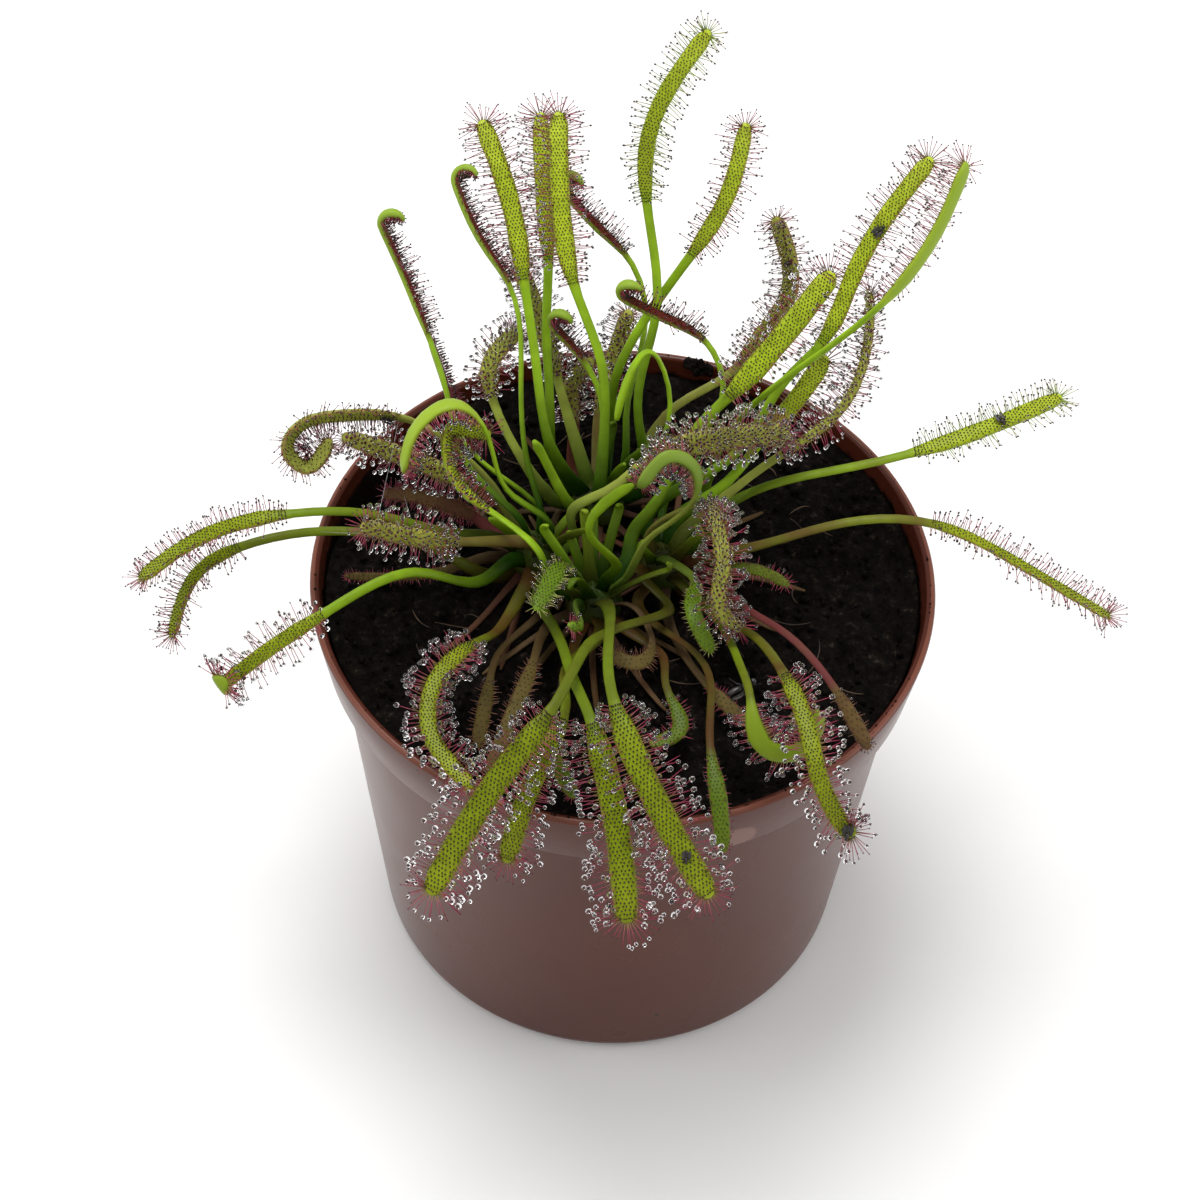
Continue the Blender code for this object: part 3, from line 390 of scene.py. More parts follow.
def makeCrumbs(finish):
    # each crumb is an icosahedron with its corners pushed in and out, sunk a third into the peat
    ball, faces = icosahedron()
    count = peatLooks["crumbs"]
    spread, turn = peatLooks["crumbReach"] * np.sqrt(draw.random(count)), draw.random(count) * 2 * math.pi
    least, more, power = peatLooks["crumbSize"]
    size = least + more * draw.random(count) ** power
    x, y = spread * np.cos(turn), spread * np.sin(turn)
    height = peatHeight(x, y) + 0.45 * size
    # some lie on the rim, one clod of them at the back
    onRim = slice(0, peatLooks["rimCrumbs"])
    outward = (potLooks["rimRadius"] - 0.8) / spread[onRim]
    x[onRim] *= outward
    y[onRim] *= outward
    least, more = peatLooks["rimCrumbSize"]
    size[onRim] = least + more * size[onRim]
    height[onRim] = potLooks["height"] + 0.3 * size[onRim]
    middle, reach, clods = peatLooks["clod"]
    inClod = slice(peatLooks["rimCrumbs"], peatLooks["rimCrumbs"] + clods)
    lumps = unit(draw.normal(size=(clods, 3))) * draw.random((clods, 1)) ** 0.5
    lumps *= [reach, 0.75 * reach, 0.6 * reach]
    x[inClod], y[inClod] = middle[0] + lumps[:, 0], middle[1] + lumps[:, 1]
    height[inClod] = middle[2] + np.abs(lumps[:, 2])
    least, more = peatLooks["clodCrumbSize"]
    size[inClod] = least + more * draw.random(clods)
    stretch = draw.uniform(0.6, 1.5, (count, 1, 3))
    dents = draw.uniform(0.72, 1.2, (count, 12, 1))
    places = np.stack([x, y, height], axis=-1)
    points = places[:, None] + ball[None] * dents * stretch * size[:, None, None]
    crumbs = makePiece("peat_crumbs", points.reshape(-1, 3), [(tiled(faces, 12, count), 0)], [finish])
    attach(crumbs, "root")
    print("peat and crumbs laid")


def makeFibres():
    # root fibres on the peat: a thin four-sided thread carried along a low bent path
    material = mottledMaterial("drySphagnumFibre", "#5A4532", {"Roughness": 0.8, "IOR": 1.45},
                               {"Scale": 300, "Detail": 2}, [(0.35, "#241A12"), (0.65, "#5E4A36")])
    count, steps = peatLooks["fibres"], peatLooks["fibreSteps"]
    spread, turn = peatLooks["fibreReach"] * np.sqrt(draw.random(count)), draw.random(count) * 2 * math.pi
    heading, bend = draw.random(count) * 2 * math.pi, draw.uniform(-0.5, 0.5, count)
    length = draw.uniform(*peatLooks["fibreLength"], count)
    share = np.linspace(-0.5, 0.5, steps)
    angle = heading[:, None] + bend[:, None] * share[None] * 2
    x = (spread * np.cos(turn))[:, None] + length[:, None] * share * np.cos(angle)
    y = (spread * np.sin(turn))[:, None] + length[:, None] * share * np.sin(angle)
    fits = np.hypot(x, y).max(axis=1) < peatLooks["fibreEdge"]
    x, y, angle = x[fits], y[fits], angle[fits]
    height = peatHeight(x, y) + 0.7 + 0.3 * latticeNoise(x, y, 2.0, 9)
    thick = (0.09 * np.cos(share * 2.6) + 0.02)[None, :, None]
    side = thick * np.stack([-np.sin(angle), np.cos(angle), 0 * angle], axis=-1)
    lift = thick * np.array([0, 0, 1.0])
    middle = np.stack([x, y, height], axis=-1)
    rings = np.stack([middle + side, middle + lift, middle - side, middle - lift], axis=2)
    size = 4 * steps
    ends = np.array([[3, 2, 1, 0], [size - 4, size - 3, size - 2, size - 1]])
    sets = [(tiled(ringFaces(steps, 4), size, len(x)), 0), (tiled(ends, size, len(x)), 0)]
    fibres = makePiece("peat_fibres", rings.reshape(-1, 3), sets, [material])
    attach(fibres, "root")


# The plant's plan: the routes that the leaves' midribs take, as the CAD model has them

leafPlan = {
    "crownRadius": 4.6, "crownHeight": 72.4, "stubRadius": 3.2, "stubDepth": 5.0, "seatGap": 0.3,
    "startRun": 1.2, "shoulder": 5.0, "tipTaper": 2.6, "curlRadius": 1.7, "gap": 0.8,
    "rounds": 320, "lastRounds": 80, "smoothing": 4, "pairsEvery": 10,
    "crowns": {"left": (-12.5, 1.5), "front": (-4.0, -6.8), "right": (5.8, 0.5), "back": (-4.4, 12.0)},
    "footRise": 8.8, "riseFrom": 64.0, "riseTo": 116.0, "riseOutside": 0.4, "photoEye": (0.0, -227.3, 339.2),
}
# stalk width and blade width of each kind of leaf
leafWidths = {
    "green": (1.9, 2.9), "broad": (2.0, 3.3), "young": (1.6, 2.3), "dewy": (1.8, 2.8), "small": (1.5, 2.5),
    "old": (1.4, 2.3),
}
toCamera = (0.0, -0.63, 0.78)
toSky = (0.0, -0.25, 0.97)
toRight = (1.0, -0.25, 0.15)
toRightUp = (0.65, -0.2, 0.75)
toLeftBack = (-0.7, 0.45, -0.3)
toRightUnder = (0.4, 0.65, -0.6)
# name: crown, kind, the way its dewy side looks, the place that ends its stalk, its tip's curl in degrees,
# and its places
leafRoutes = {
    "hook_far_left": ("left", "young", toRight, 2, 200,
        [(-23, 15, 76), (-27, 19, 90), (-29, 21, 96), (-33, 26, 104), (-36, 28, 111)]),
    "arch_left": ("left", "green", toRightUnder, 1, 50,
        [(-17, 9, 78), (-21, 10, 91), (-25, 9, 96), (-30, 7, 93), (-32, 6, 86)]),
    "hook_left": ("left", "young", toRight, 2, 200,
        [(-14, 15, 74), (-16, 20, 90), (-18, 25, 104), (-22, 28, 109), (-26, 33, 115)]),
    "tall_left": ("back", "green", toCamera, 2, 0,
        [(-12, 18, 80), (-14, 22, 91), (-16, 27, 102), (-18, 33, 110), (-23, 42, 119)]),
    "tall_mid": ("back", "green", toCamera, 2, 0,
        [(-4, 20, 80), (-5, 23, 92), (-9, 27, 102), (-11, 32, 110), (-12, 42, 121)]),
    "tall_mid_back": ("back", "green", toCamera, 2, 0,
        [(-12, 24, 79), (-13, 30, 91), (-13, 34, 99), (-14, 40, 107), (-15, 48, 116)]),
    "hook_mid": ("back", "young", toRightUp, 2, 210,
        [(-1, 25, 80), (1, 30, 95), (-2, 33, 103), (-6, 34, 107), (-11, 37, 111)]),
    "hook_mid_low": ("back", "young", toRightUp, 2, 210,
        [(-4, 21, 77), (-4, 22, 84), (-6, 24, 89), (-11, 26, 95)]),
    "hook_right": ("right", "young", toRightUp, 2, 210,
        [(9, 21, 76), (13, 24, 86), (10, 27, 93), (3, 27, 98), (-2, 27, 101)]),
    "tallest": ("back", "green", toCamera, 2, 0,
        [(1, 24, 79), (3, 28, 98), (1, 33, 112), (1, 36, 125), (8, 41, 137)]),
    "tall_right": ("back", "green", toCamera, 2, 0,
        [(-1, 27, 88), (3, 29, 97), (7, 30, 105), (12, 33, 115), (14, 39, 123)]),
    "back_bend": ("back", "dewy", toCamera, 1, 30,
        [(6, 32, 73), (15, 35, 79), (19, 37, 85), (22.5, 39, 92), (20, 43, 102)]),
    "broad_right": ("front", "broad", toCamera, 2, 0,
        [(6, 10, 74), (10, 15, 84), (14, 17, 89), (21, 21, 97), (29, 27, 106)]),
    "long_right_high": ("right", "green", toCamera, 2, 0,
        [(14, 16, 80), (22, 20, 93), (26, 21, 98), (31, 27, 109), (40, 37, 120)]),
    "short_right": ("right", "green", toCamera, 1, 0,
        [(12, 14, 75), (18, 18, 84), (22, 20, 90), (26, 24, 95)]),
    "back_turned_right": ("right", "green", toLeftBack, 2, 40,
        [(16, 18, 83), (29, 21, 100), (34, 22, 106), (41, 28, 115), (44, 33, 122)]),
    "dewy_mid": ("left", "dewy", toCamera, 2, 0,
        [(-8, 8, 75), (-2, 7, 82), (2, 7, 87), (11, 8, 91), (23, 13, 88)]),
    "dewy_mid_bent": ("front", "dewy", (-0.5, 0.5, -0.6), 1, 60,
        [(3, 3.5, 75), (9, 5, 82), (9, 5, 90), (5, 3, 94), (2, 2, 90)]),
    "dewy_right": ("right", "dewy", (-0.4, -0.5, 0.7), 1, 0,
        [(14, 10, 78), (21, 13, 84), (29, 15, 93), (31.5, 20, 101), (31, 25, 107)]),
    "dewy_down": ("right", "dewy", toCamera, 0, 0,
        [(11, 7, 79), (13, 0, 82), (14, -6, 80), (14, -11, 76), (17, -12, 73)]),
    "curl_front_right": ("right", "green", toRightUnder, 2, 60,
        [(14, -7, 72), (17, -20, 78), (18, -28, 81), (20, -35, 80), (25, -35, 80), (27, -31, 81)]),
    "front_right_low": ("right", "green", toCamera, 1, 30,
        [(18, -10, 72), (22, -22, 79), (25, -33, 82), (27, -41, 80), (31, -45, 74)]),
    "thin_red_arc": ("right", "old", toCamera, 2, 0,
        [(17, -3, 70), (23, -13, 76), (29, -25, 80), (34, -33, 77)]),
    "long_right": ("right", "green", toSky, 2, 0,
        [(15, 12, 75), (29, 12, 83), (39, 11, 88), (50, 13, 92), (61, 19, 93)]),
    "long_right_low": ("right", "green", toSky, 2, 0,
        [(18, 4, 74), (32, 3, 82), (42, 0, 86), (55, -2, 81), (70, -3, 71)]),
    "long_left": ("left", "green", toSky, 2, 0,
        [(-24, 5, 73), (-36, 0, 82), (-46, -5, 87), (-58, -7, 84), (-68, -9, 76)]),
    "long_left_low": ("left", "green", toSky, 2, 0,
        [(-25, 3, 70), (-40, 1, 77), (-53, -5, 80), (-60, -7, 76), (-64, -12, 67)]),
    "reddish_left": ("left", "dewy", toCamera, 0, 0,
        [(-23, 1, 76), (-30, -2, 80), (-37, -3, 83)]),
    "over_rim_left": ("left", "green", toCamera, 2, 150,
        [(-20, 0, 69), (-29, -6, 77), (-40, -17, 81), (-47, -22, 79), (-53, -24, 74)]),
    "spiral_left": ("left", "dewy", toRight, 1, 0,
        [(-24, 17, 75), (-33, 18, 82), (-42, 14, 86), (-47, 12, 86), (-49, 10, 83), (-46.5, 9.5, 80),
         (-43, 12.5, 83)]),
    "behind_arch": ("left", "dewy", toCamera, 0, 0,
        [(-22, 16, 72), (-31, 16, 78), (-41, 14, 85)]),
    "upright_small_left": ("left", "young", toRight, 0, 0,
        [(-22, 19, 74), (-27, 25, 81), (-30, 29, 89)]),
    "curled_left": ("front", "green", (1.0, -0.3, 0.0), 1, 60,
        [(-12, -0.5, 76), (-19, 4, 79), (-25, 6, 86), (-25, 9, 90), (-21, 11, 88)]),
    "mid_left_short": ("back", "dewy", toCamera, 1, 0,
        [(-15, 17, 74), (-20, 21, 83), (-21, 24, 88), (-17, 29, 91)]),
    "dewy_back": ("back", "dewy", toCamera, 0, 0,
        [(-9, 28, 73), (-10, 30, 79), (-7, 31, 84)]),
    "young_loop": ("back", "young", (0.7, 0.0, -0.7), 2, 0,
        [(4, 16, 80), (5, 18, 93), (2, 18, 99), (-1, 16, 94), (-2, 15, 88)]),
    "young_s": ("front", "young", toCamera, 1, 0,
        [(-1, 0, 73), (-5, -1, 82), (-2, 0, 88), (1, 0, 91)]),
    "front_left": ("right", "broad", toCamera, 3, 0,
        [(6, -1, 66), (0.5, -9, 70.5), (-5, -22, 79), (-8, -33, 82), (-15, -44, 80), (-23, -55, 70)]),
    "front_mid": ("left", "broad", toCamera, 3, 0,
        [(-11.5, 1, 67.5), (-9, -8, 70), (-6, -21, 77), (-3, -33, 82), (0, -44, 81), (3, -56, 68)]),
    "front_mid_right": ("front", "broad", toCamera, 2, 0,
        [(-2, -10, 74), (-2, -23, 80), (-1, -32, 83), (5, -46, 81), (13, -54, 71)]),
    "front_left_under": ("front", "green", toCamera, 1, 0,
        [(-7, -15, 69), (-7, -28, 75), (-10, -40, 78), (-13.5, -50, 71)]),
    "bent_front_left": ("left", "green", toCamera, 1, 0,
        [(-17, -7, 67), (-20, -15, 73), (-25, -25, 76), (-25, -33, 77), (-18.5, -42.5, 77)]),
    "old_front_left": ("left", "old", toCamera, 1, 0,
        [(-16, -8, 65), (-18, -17, 68), (-19, -28, 66)]),
    "old_front": ("front", "old", toCamera, 0, 0,
        [(-12, -14, 68), (-14, -23, 68), (-17, -34, 66)]),
    "small_front": ("front", "small", toCamera, 1, 0,
        [(-7, -14, 66), (-9, -28, 68), (-5, -37, 67)]),
    "young_dewy": ("front", "small", toCamera, 0, 0,
        [(-8, 0, 73), (-10, -5, 76), (-12, -11, 76)]),
    "small_right": ("right", "small", toCamera, 0, 0,
        [(10, 0, 71), (10, -7, 73), (13, -13, 70)]),
    "wavy_old": ("front", "old", toCamera, 0, 0,
        [(5, -8, 67), (3, -13, 68), (-2, -11, 68)]),
    "low_front_right": ("front", "small", toCamera, 1, 0,
        [(6, -9, 65), (7, -17, 67), (9, -23, 66), (5, -26, 66)]),
    "old_front_right": ("right", "small", toCamera, 1, 0,
        [(10, -9, 67), (13, -33, 75), (14, -42, 77), (15, -48, 73)]),
    "low_right": ("right", "small", toCamera, 0, 0,
        [(15, 5, 69), (19, 3, 71), (24, 2, 69)]),
    "old_pink_left": ("left", "old", toCamera, 0, 0,
        [(-22, 14, 66), (-29, 15, 69), (-36, 14, 71)]),
    "dewy_far_back": ("back", "dewy", toCamera, 0, 0,
        [(-5, 33, 69), (-3, 39, 77), (-1, 42, 84)]),
    "dewy_back_left": ("back", "dewy", toCamera, 0, 0,
        [(-10, 30, 79), (-14, 36, 89), (-17, 39, 95)]),
}
# small shoots and withered leaves that grow out of a crown
shootRoutes = {
    "young_stub": ("back", "young", toCamera, 0, 0,
        [(-12, 16, 77), (-14, 15, 83)]),
    "small_dark_front": ("front", "small", toCamera, 0, 0,
        [(-6, -9, 70), (-8, -11, 72)]),
    "old_brown_right": ("right", "old", toCamera, 0, 0,
        [(12, -14, 66), (18, -21, 66)]),
    "old_flat_left": ("left", "old", toCamera, 0, 0,
        [(-25, 6, 64), (-41, 3, 64)]),
}


def spreadStarts(directions, reach):
    # turns the ways in which leaves leave a crown until each has room beside its neighbours
    ways = unit(directions)
    room = 2 * (reach + leafPlan["gap"] / 2) / leafPlan["crownRadius"]
    for _ in range(400):
        apart = ways[:, None] - ways[None, :]
        distance = np.linalg.norm(apart, axis=-1) + np.eye(len(ways))
        need = np.clip(room - distance, 0, None) * (1 - np.eye(len(ways)))
        ways = unit(ways + 0.3 * (apart / distance[..., None] * need[..., None]).sum(axis=1))
        ways[:, 2] = np.clip(ways[:, 2], 0.1, 1.0)
        ways = unit(ways)
    return ways


def smoothRoute(places):
    # natural cubic spline through the places, with the places' distances along it
    places = np.asarray(places, float)
    knots = np.concatenate([[0], np.cumsum(np.linalg.norm(np.diff(places, axis=0), axis=1))])
    gaps = np.diff(knots)
    count = len(places)
    system, rightSide = np.eye(count), np.zeros((count, 3))
    slopes = np.diff(places, axis=0) / gaps[:, None]
    for i in range(1, count - 1):
        system[i, i - 1:i + 2] = gaps[i - 1], 2 * (gaps[i - 1] + gaps[i]), gaps[i]
        rightSide[i] = 6 * (slopes[i] - slopes[i - 1])
    bend = np.linalg.solve(system, rightSide)
    fine = np.linspace(0, knots[-1], 40 * count)
    piece = np.clip(np.searchsorted(knots, fine, side="right") - 1, 0, count - 2)
    after, before = (fine - knots[piece])[:, None], (knots[piece + 1] - fine)[:, None]
    width = gaps[piece][:, None]
    curve = (bend[piece] * before ** 3 + bend[piece + 1] * after ** 3) / (6 * width)
    curve += (places[piece] / width - bend[piece] * width / 6) * before
    curve += (places[piece + 1] / width - bend[piece + 1] * width / 6) * after
    return curve, fine, knots


def stations(curve):
    # the curve's points at even steps of about a millimetre
    along = np.concatenate([[0], np.cumsum(np.linalg.norm(np.diff(curve, axis=0), axis=1))])
    even = np.linspace(0, along[-1], max(6, int(round(along[-1])) + 1))
    return np.stack([np.interp(even, along, curve[:, axis]) for axis in range(3)], axis=1)


def carryFrames(points, start, face):
    # tangent, face and side at each point, the face carried both ways from the start untwisted
    tangents = unit(np.gradient(points, axis=0))
    faces = np.zeros_like(points)
    faces[start] = unit(np.array(face) - tangents[start] * np.dot(face, tangents[start]))
    for walk in (range(start + 1, len(points)), range(start - 1, -1, -1)):
        before = start
        for here in walk:
            faces[here] = unit(faces[before] - tangents[here] * np.dot(faces[before], tangents[here]))
            before = here
    return tangents, faces, np.cross(tangents, faces)


def leafHalfWidths(count, knee, stalk, blade):
    # the stalk's, growing to the blade's over its shoulder, and rounded off at the tip
    step = np.arange(count)
    shoulder = np.clip((step - knee) / leafPlan["shoulder"], 0, 1)
    half = stalk + (blade - stalk) * np.sin(shoulder * math.pi / 2) ** 2
    toTip = np.clip((step[-1] - step) / leafPlan["tipTaper"], 0, 1)
    return half * np.sqrt(0.16 + 0.84 * toTip * (2 - toTip))


def ease(share):
    share = min(max(share, 0.0), 1.0)
    return share * share * (3 - 2 * share)


def risen(place):
    # a place of a midrib, slid toward the photo's eye so that it suits the height of the peat
    place = np.asarray(place, float)
    spread = math.hypot(place[0], place[1])
    share = (place[2] - leafPlan["riseFrom"]) / (leafPlan["riseTo"] - leafPlan["riseFrom"])
    rise = leafPlan["footRise"] * (1 - ease(share))
    rise *= 1 - (1 - leafPlan["riseOutside"]) * ease((spread - 30) / 16)
    if spread < innerRadius(peatLooks["edge"]) - 1.0:
        rise = max(rise, float(peatHeight(place[0], place[1])) + 2.0 - place[2])
    return place + rise * (np.array(leafPlan["photoEye"]) - place) / (leafPlan["photoEye"][2] - place[2])


def planLeaf(route, centre, way):
    _, kind, face, knee, curl, places = route
    base = np.array(centre) + (leafPlan["crownRadius"] + leafPlan["seatGap"]) * np.array(way)
    leaving = base + leafPlan["startRun"] * np.array(way)
    curve, fine, knots = smoothRoute([base, leaving, *map(risen, places)])
    kneePoint = curve[np.argmin(abs(fine - knots[knee + 2]))]
    points = stations(curve)
    kneeAt = int(np.argmin(np.linalg.norm(points - kneePoint, axis=1)))
    middle = (kneeAt + len(points) - 1) // 2
    if curl:
        tangents, faces, _ = carryFrames(points, middle, face)
        turn = np.radians(np.arange(1, int(curl / 30) + 1) * 30)[:, None]
        arc = np.sin(turn) * tangents[-1] + (1 - np.cos(turn)) * faces[-1]
        points = stations(np.concatenate([points, points[-1] + leafPlan["curlRadius"] * arc]))
    stalk, blade = leafWidths[kind]
    return points, kneeAt, middle, leafHalfWidths(len(points), kneeAt, stalk / 2, blade / 2)


def nearPairs(points, owner, reach):
    first, second = [], []
    for start in range(0, len(points), 400):
        block = slice(start, start + 400)
        distance = np.linalg.norm(points[block, None] - points[None], axis=-1)
        near = distance < reach[block, None] + reach[None] + leafPlan["gap"] + 1.5
        near &= owner[block, None] < owner[None]
        rows, columns = np.nonzero(near)
        first.append(rows + start)
        second.append(columns)
    return np.concatenate(first), np.concatenate(second)


def combRoutes(routes, reaches, centres):
    # pushes the midribs apart until each two are clear of each other, with their starts held
    points, reach = np.concatenate(routes), np.concatenate(reaches)
    owner = np.concatenate([np.full(len(route), i) for i, route in enumerate(routes)])
    along = np.concatenate([np.arange(len(route)) for route in routes])
    loose = np.clip((along - 1) / 4.0, 0, 1)[:, None]
    rest, shift = points.copy(), np.zeros_like(points)
    inner = np.nonzero(owner[1:] == owner[:-1])[0]
    mouth = innerRadius(potLooks["height"])
    for turn in range(leafPlan["rounds"]):
        if turn % leafPlan["pairsEvery"] == 0:
            first, second = nearPairs(points, owner, reach)
        apart = points[first] - points[second]
        distance = np.maximum(np.linalg.norm(apart, axis=1), 1e-6)
        need = np.clip(reach[first] + reach[second] + leafPlan["gap"] - distance, 0, None)
        push = apart / distance[:, None] * need[:, None]
        total, count = np.zeros_like(points), np.zeros(len(points))
        for places, sign in ((first, 0.5), (second, -0.5)):
            np.add.at(total, places, sign * push)
            np.add.at(count, places, need > 0)
        shift += total / np.maximum(count, 1)[:, None] * 1.3
        for centre in centres:
            away = points - centre
            distance = np.linalg.norm(away, axis=1)
            inside = np.clip(leafPlan["crownRadius"] + reach + leafPlan["gap"] - distance, 0, None)
            shift += away / distance[:, None] * (inside * (along > 3))[:, None]
        spread = np.hypot(points[:, 0], points[:, 1])
        floor = peatHeight(points[:, 0], points[:, 1]) + reach + 0.9
        floor = np.where(spread > mouth - 3.0, potLooks["height"] + reach + 0.8, floor)
        floor = np.where(spread > potLooks["rimRadius"] + 2.5, 0.0, floor)
        shift[:, 2] += 0.5 * np.clip(floor - points[:, 2], 0, None) * (along > 3)
        for _ in range(leafPlan["smoothing"] if turn < leafPlan["rounds"] - leafPlan["lastRounds"] else 1):
            step = 0.25 * (shift[inner + 1] - shift[inner])
            shift[inner] += step
            shift[inner + 1] -= step
            shift *= loose
        points = rest + shift
    return np.split(points, np.cumsum([len(route) for route in routes])[:-1])


def planPlant():
    table = {**leafRoutes, **shootRoutes}
    centres = {key: np.array([x, y, leafPlan["crownHeight"]]) for key, (x, y) in leafPlan["crowns"].items()}
    plans = {}
    for key, centre in centres.items():
        names = [name for name in table if table[name][0] == key]
        toward = np.array([risen(table[name][5][0]) for name in names]) - centre
        for name, way in zip(names, spreadStarts(toward, 0.95)):
            plans[name] = planLeaf(table[name], centre, way)
    names = list(table)
    routes = combRoutes([plans[n][0] for n in names], [plans[n][3] for n in names], list(centres.values()))
    print("midribs planned and combed:", len(names))
    return {name: (points, *plans[name][1:]) for name, points in zip(names, routes)}


# Leaves: stalk, blade, marginal tentacles, the glands on the blade and the drops

# of each kind: tentacles to a millimetre of each margin, their longest length, how far they lean to the dewy
# side in degrees, the share of length left at the tip, the drops' radius, the share of tentacles that carry
# one, the spacing of the glands on the blade, how high those stand and their radius
tentacleKeys = ("perMm", "length", "lean", "atTip", "drop", "wet", "spacing", "stand", "dot")
tentacleRows = {
    "green": (3.4, 3.6, (4, 62), 0.95, 0.24, 0.85, 0.45, 0.3, 0.128),
    "broad": (3.2, 4.3, (2, 58), 0.95, 0.40, 0.97, 0.53, 0.3, 0.155),
    "young": (3.6, 3.2, (28, 80), 0.3, 0.19, 0.6, 0.42, 0.9, 0.12),
    "dewy": (4.2, 3.2, (5, 72), 0.85, 0.33, 1.0, 0.55, 1.25, 0.12),
    "small": (2.3, 2.0, (5, 60), 0.9, 0.28, 0.6, 0.5, 0.3, 0.10),
    "old": (2.6, 1.4, (5, 65), 0.8, 0.22, 0.06, 0.7, 0.3, 0.10),
}
tentacleLooks = {kind: dict(zip(tentacleKeys, row)) for kind, row in tentacleRows.items()}
# half thickness of stalk and blade, and the shares of the plan's stalk and blade widths that show
leafSections = {
    "green": (0.48, 0.46, 0.70, 0.94), "broad": (0.50, 0.50, 0.72, 1.0), "young": (0.44, 0.62, 0.66, 0.66),
    "dewy": (0.46, 0.46, 0.70, 0.92), "small": (0.42, 0.40, 0.72, 0.92), "old": (0.36, 0.34, 0.74, 0.92),
}
# what single leaves have that others of their kind have not: flush is how red the stalk is, ageAndShade how
# dull and dark the green is, partly for age and partly as painted shade on the lower and front leaves, wide
# and stalk the shares of the widths, pale, crimson and calm other stalks and a rolled-up blade
leafNotes = {
    "tallest": dict(length=3.0, drop=0.18, wide=0.84, pale=True),
    "tall_right": dict(length=3.0, drop=0.18, wide=0.86), "tall_left": dict(drop=0.2, perMm=4.2),
    "tall_mid": dict(drop=0.2, perMm=4.2), "tall_mid_back": dict(drop=0.2, wide=0.9, perMm=4.2),
    "long_right_high": dict(length=3.4, drop=0.2, wide=0.9), "short_right": dict(drop=0.32),
    "broad_right": dict(length=3.8, drop=0.28, spacing=0.47, dot=0.14),
    "back_turned_right": dict(drop=0.2, wide=0.95, perMm=4.0),
    "arch_left": dict(wide=1.0, length=2.6, perMm=5.0, drop=0.2, lean=(25, 80), face=(0.6, 0.0, -0.8)),
    "old_front_right": dict(length=0.9, wet=0.0, flush=0.9, ageAndShade=1.3),
    "small_front": dict(length=1.3, wet=0.05, flush=1.0, ageAndShade=1.0),
    "small_right": dict(length=1.0, wet=0.0, pale=True, ageAndShade=1.2),
    "low_right": dict(length=1.5, wet=0.1, flush=2.4, ageAndShade=0.4, wide=0.7),
    "low_front_right": dict(length=1.5, wet=0.2, flush=0.9, ageAndShade=1.0),
    "young_dewy": dict(length=2.0, wet=0.9, drop=0.2, perMm=3.2, pale=True, ageAndShade=0.8),
    "thin_red_arc": dict(length=1.0, wet=0.1, flush=1.4),
    "old_pink_left": dict(length=2.0, flush=2.6, perMm=7.0, crimson=True, lean=(5, 85)),
    "old_flat_left": dict(length=1.1, wide=0.6, ageAndShade=0.6, pale=True), "old_front": dict(ageAndShade=0.5),
    "old_front_left": dict(ageAndShade=0.8), "young_loop": dict(calm=True, stalk=1.3),
    "young_s": dict(calm=True, ageAndShade=1.3), "young_stub": dict(calm=True),
    "reddish_left": dict(flush=0.9, ageAndShade=0.5, drop=0.3), "behind_arch": dict(flush=0.8),
    "dewy_back": dict(flush=1.2), "dewy_far_back": dict(flush=0.8), "front_left": dict(flush=0.6, ageAndShade=1.2),
    "front_mid": dict(flush=0.3, ageAndShade=1.0), "front_mid_right": dict(flush=0.4, ageAndShade=0.9),
    "front_left_under": dict(flush=0.8, drop=0.36, ageAndShade=1.2),
    "bent_front_left": dict(flush=0.9, drop=0.4, length=3.4, perMm=3.8, ageAndShade=1.8, wide=0.86),
    "curl_front_right": dict(flush=0.5, drop=0.38, ageAndShade=1.0, wide=0.95, stalk=0.85, perMm=4.0),
    "front_right_low": dict(flush=0.9, drop=0.36, length=3.8, ageAndShade=1.3, wide=0.88),
    "long_right": dict(flush=0.35, length=2.8, drop=0.18, wide=0.92, ageAndShade=0.3, pale=True),
    "dewy_down": dict(flush=0.5, ageAndShade=0.3, wide=0.85),
    "long_right_low": dict(flush=0.9, wide=0.56, length=3.0, drop=0.18, perMm=3.2, ageAndShade=0.5),
    "over_rim_left": dict(drop=0.3, ageAndShade=0.8, wide=0.74, length=3.2),
    "long_left": dict(drop=0.18, length=2.6, wide=0.85, flush=0.3, ageAndShade=1.0),
    "long_left_low": dict(flush=0.5, drop=0.18, wide=0.7, length=3.0, perMm=4.0, ageAndShade=1.0),
    "dewy_right": dict(flush=0.3, wide=0.55, drop=0.24), "back_bend": dict(flush=0.4, drop=0.24, perMm=3.6),
    "spiral_left": dict(flush=0.3, wide=0.85, perMm=5.6, length=2.8, drop=0.17, wet=0.4, stand=0.8,
                        spacing=0.6),
    "dewy_mid": dict(wide=1.3, perMm=5.2, spacing=0.48, drop=0.34),
    "dewy_mid_bent": dict(wide=0.7, length=2.6, ageAndShade=0.4, perMm=5.0),
}
# tips that bend at the end: radius in millimetres, degrees, the way, as shares of the dewy side and of the
# side, and the share of the blade's width that stays
tipBends = {
    "over_rim_left": (1.3, 180, 1.0, 0.0, 1.6), "front_right_low": (1.8, 75, 0.2, -1.0, 0.95),
    "bent_front_left": (2.0, 50, -0.6, 0.8, 0.95),
}
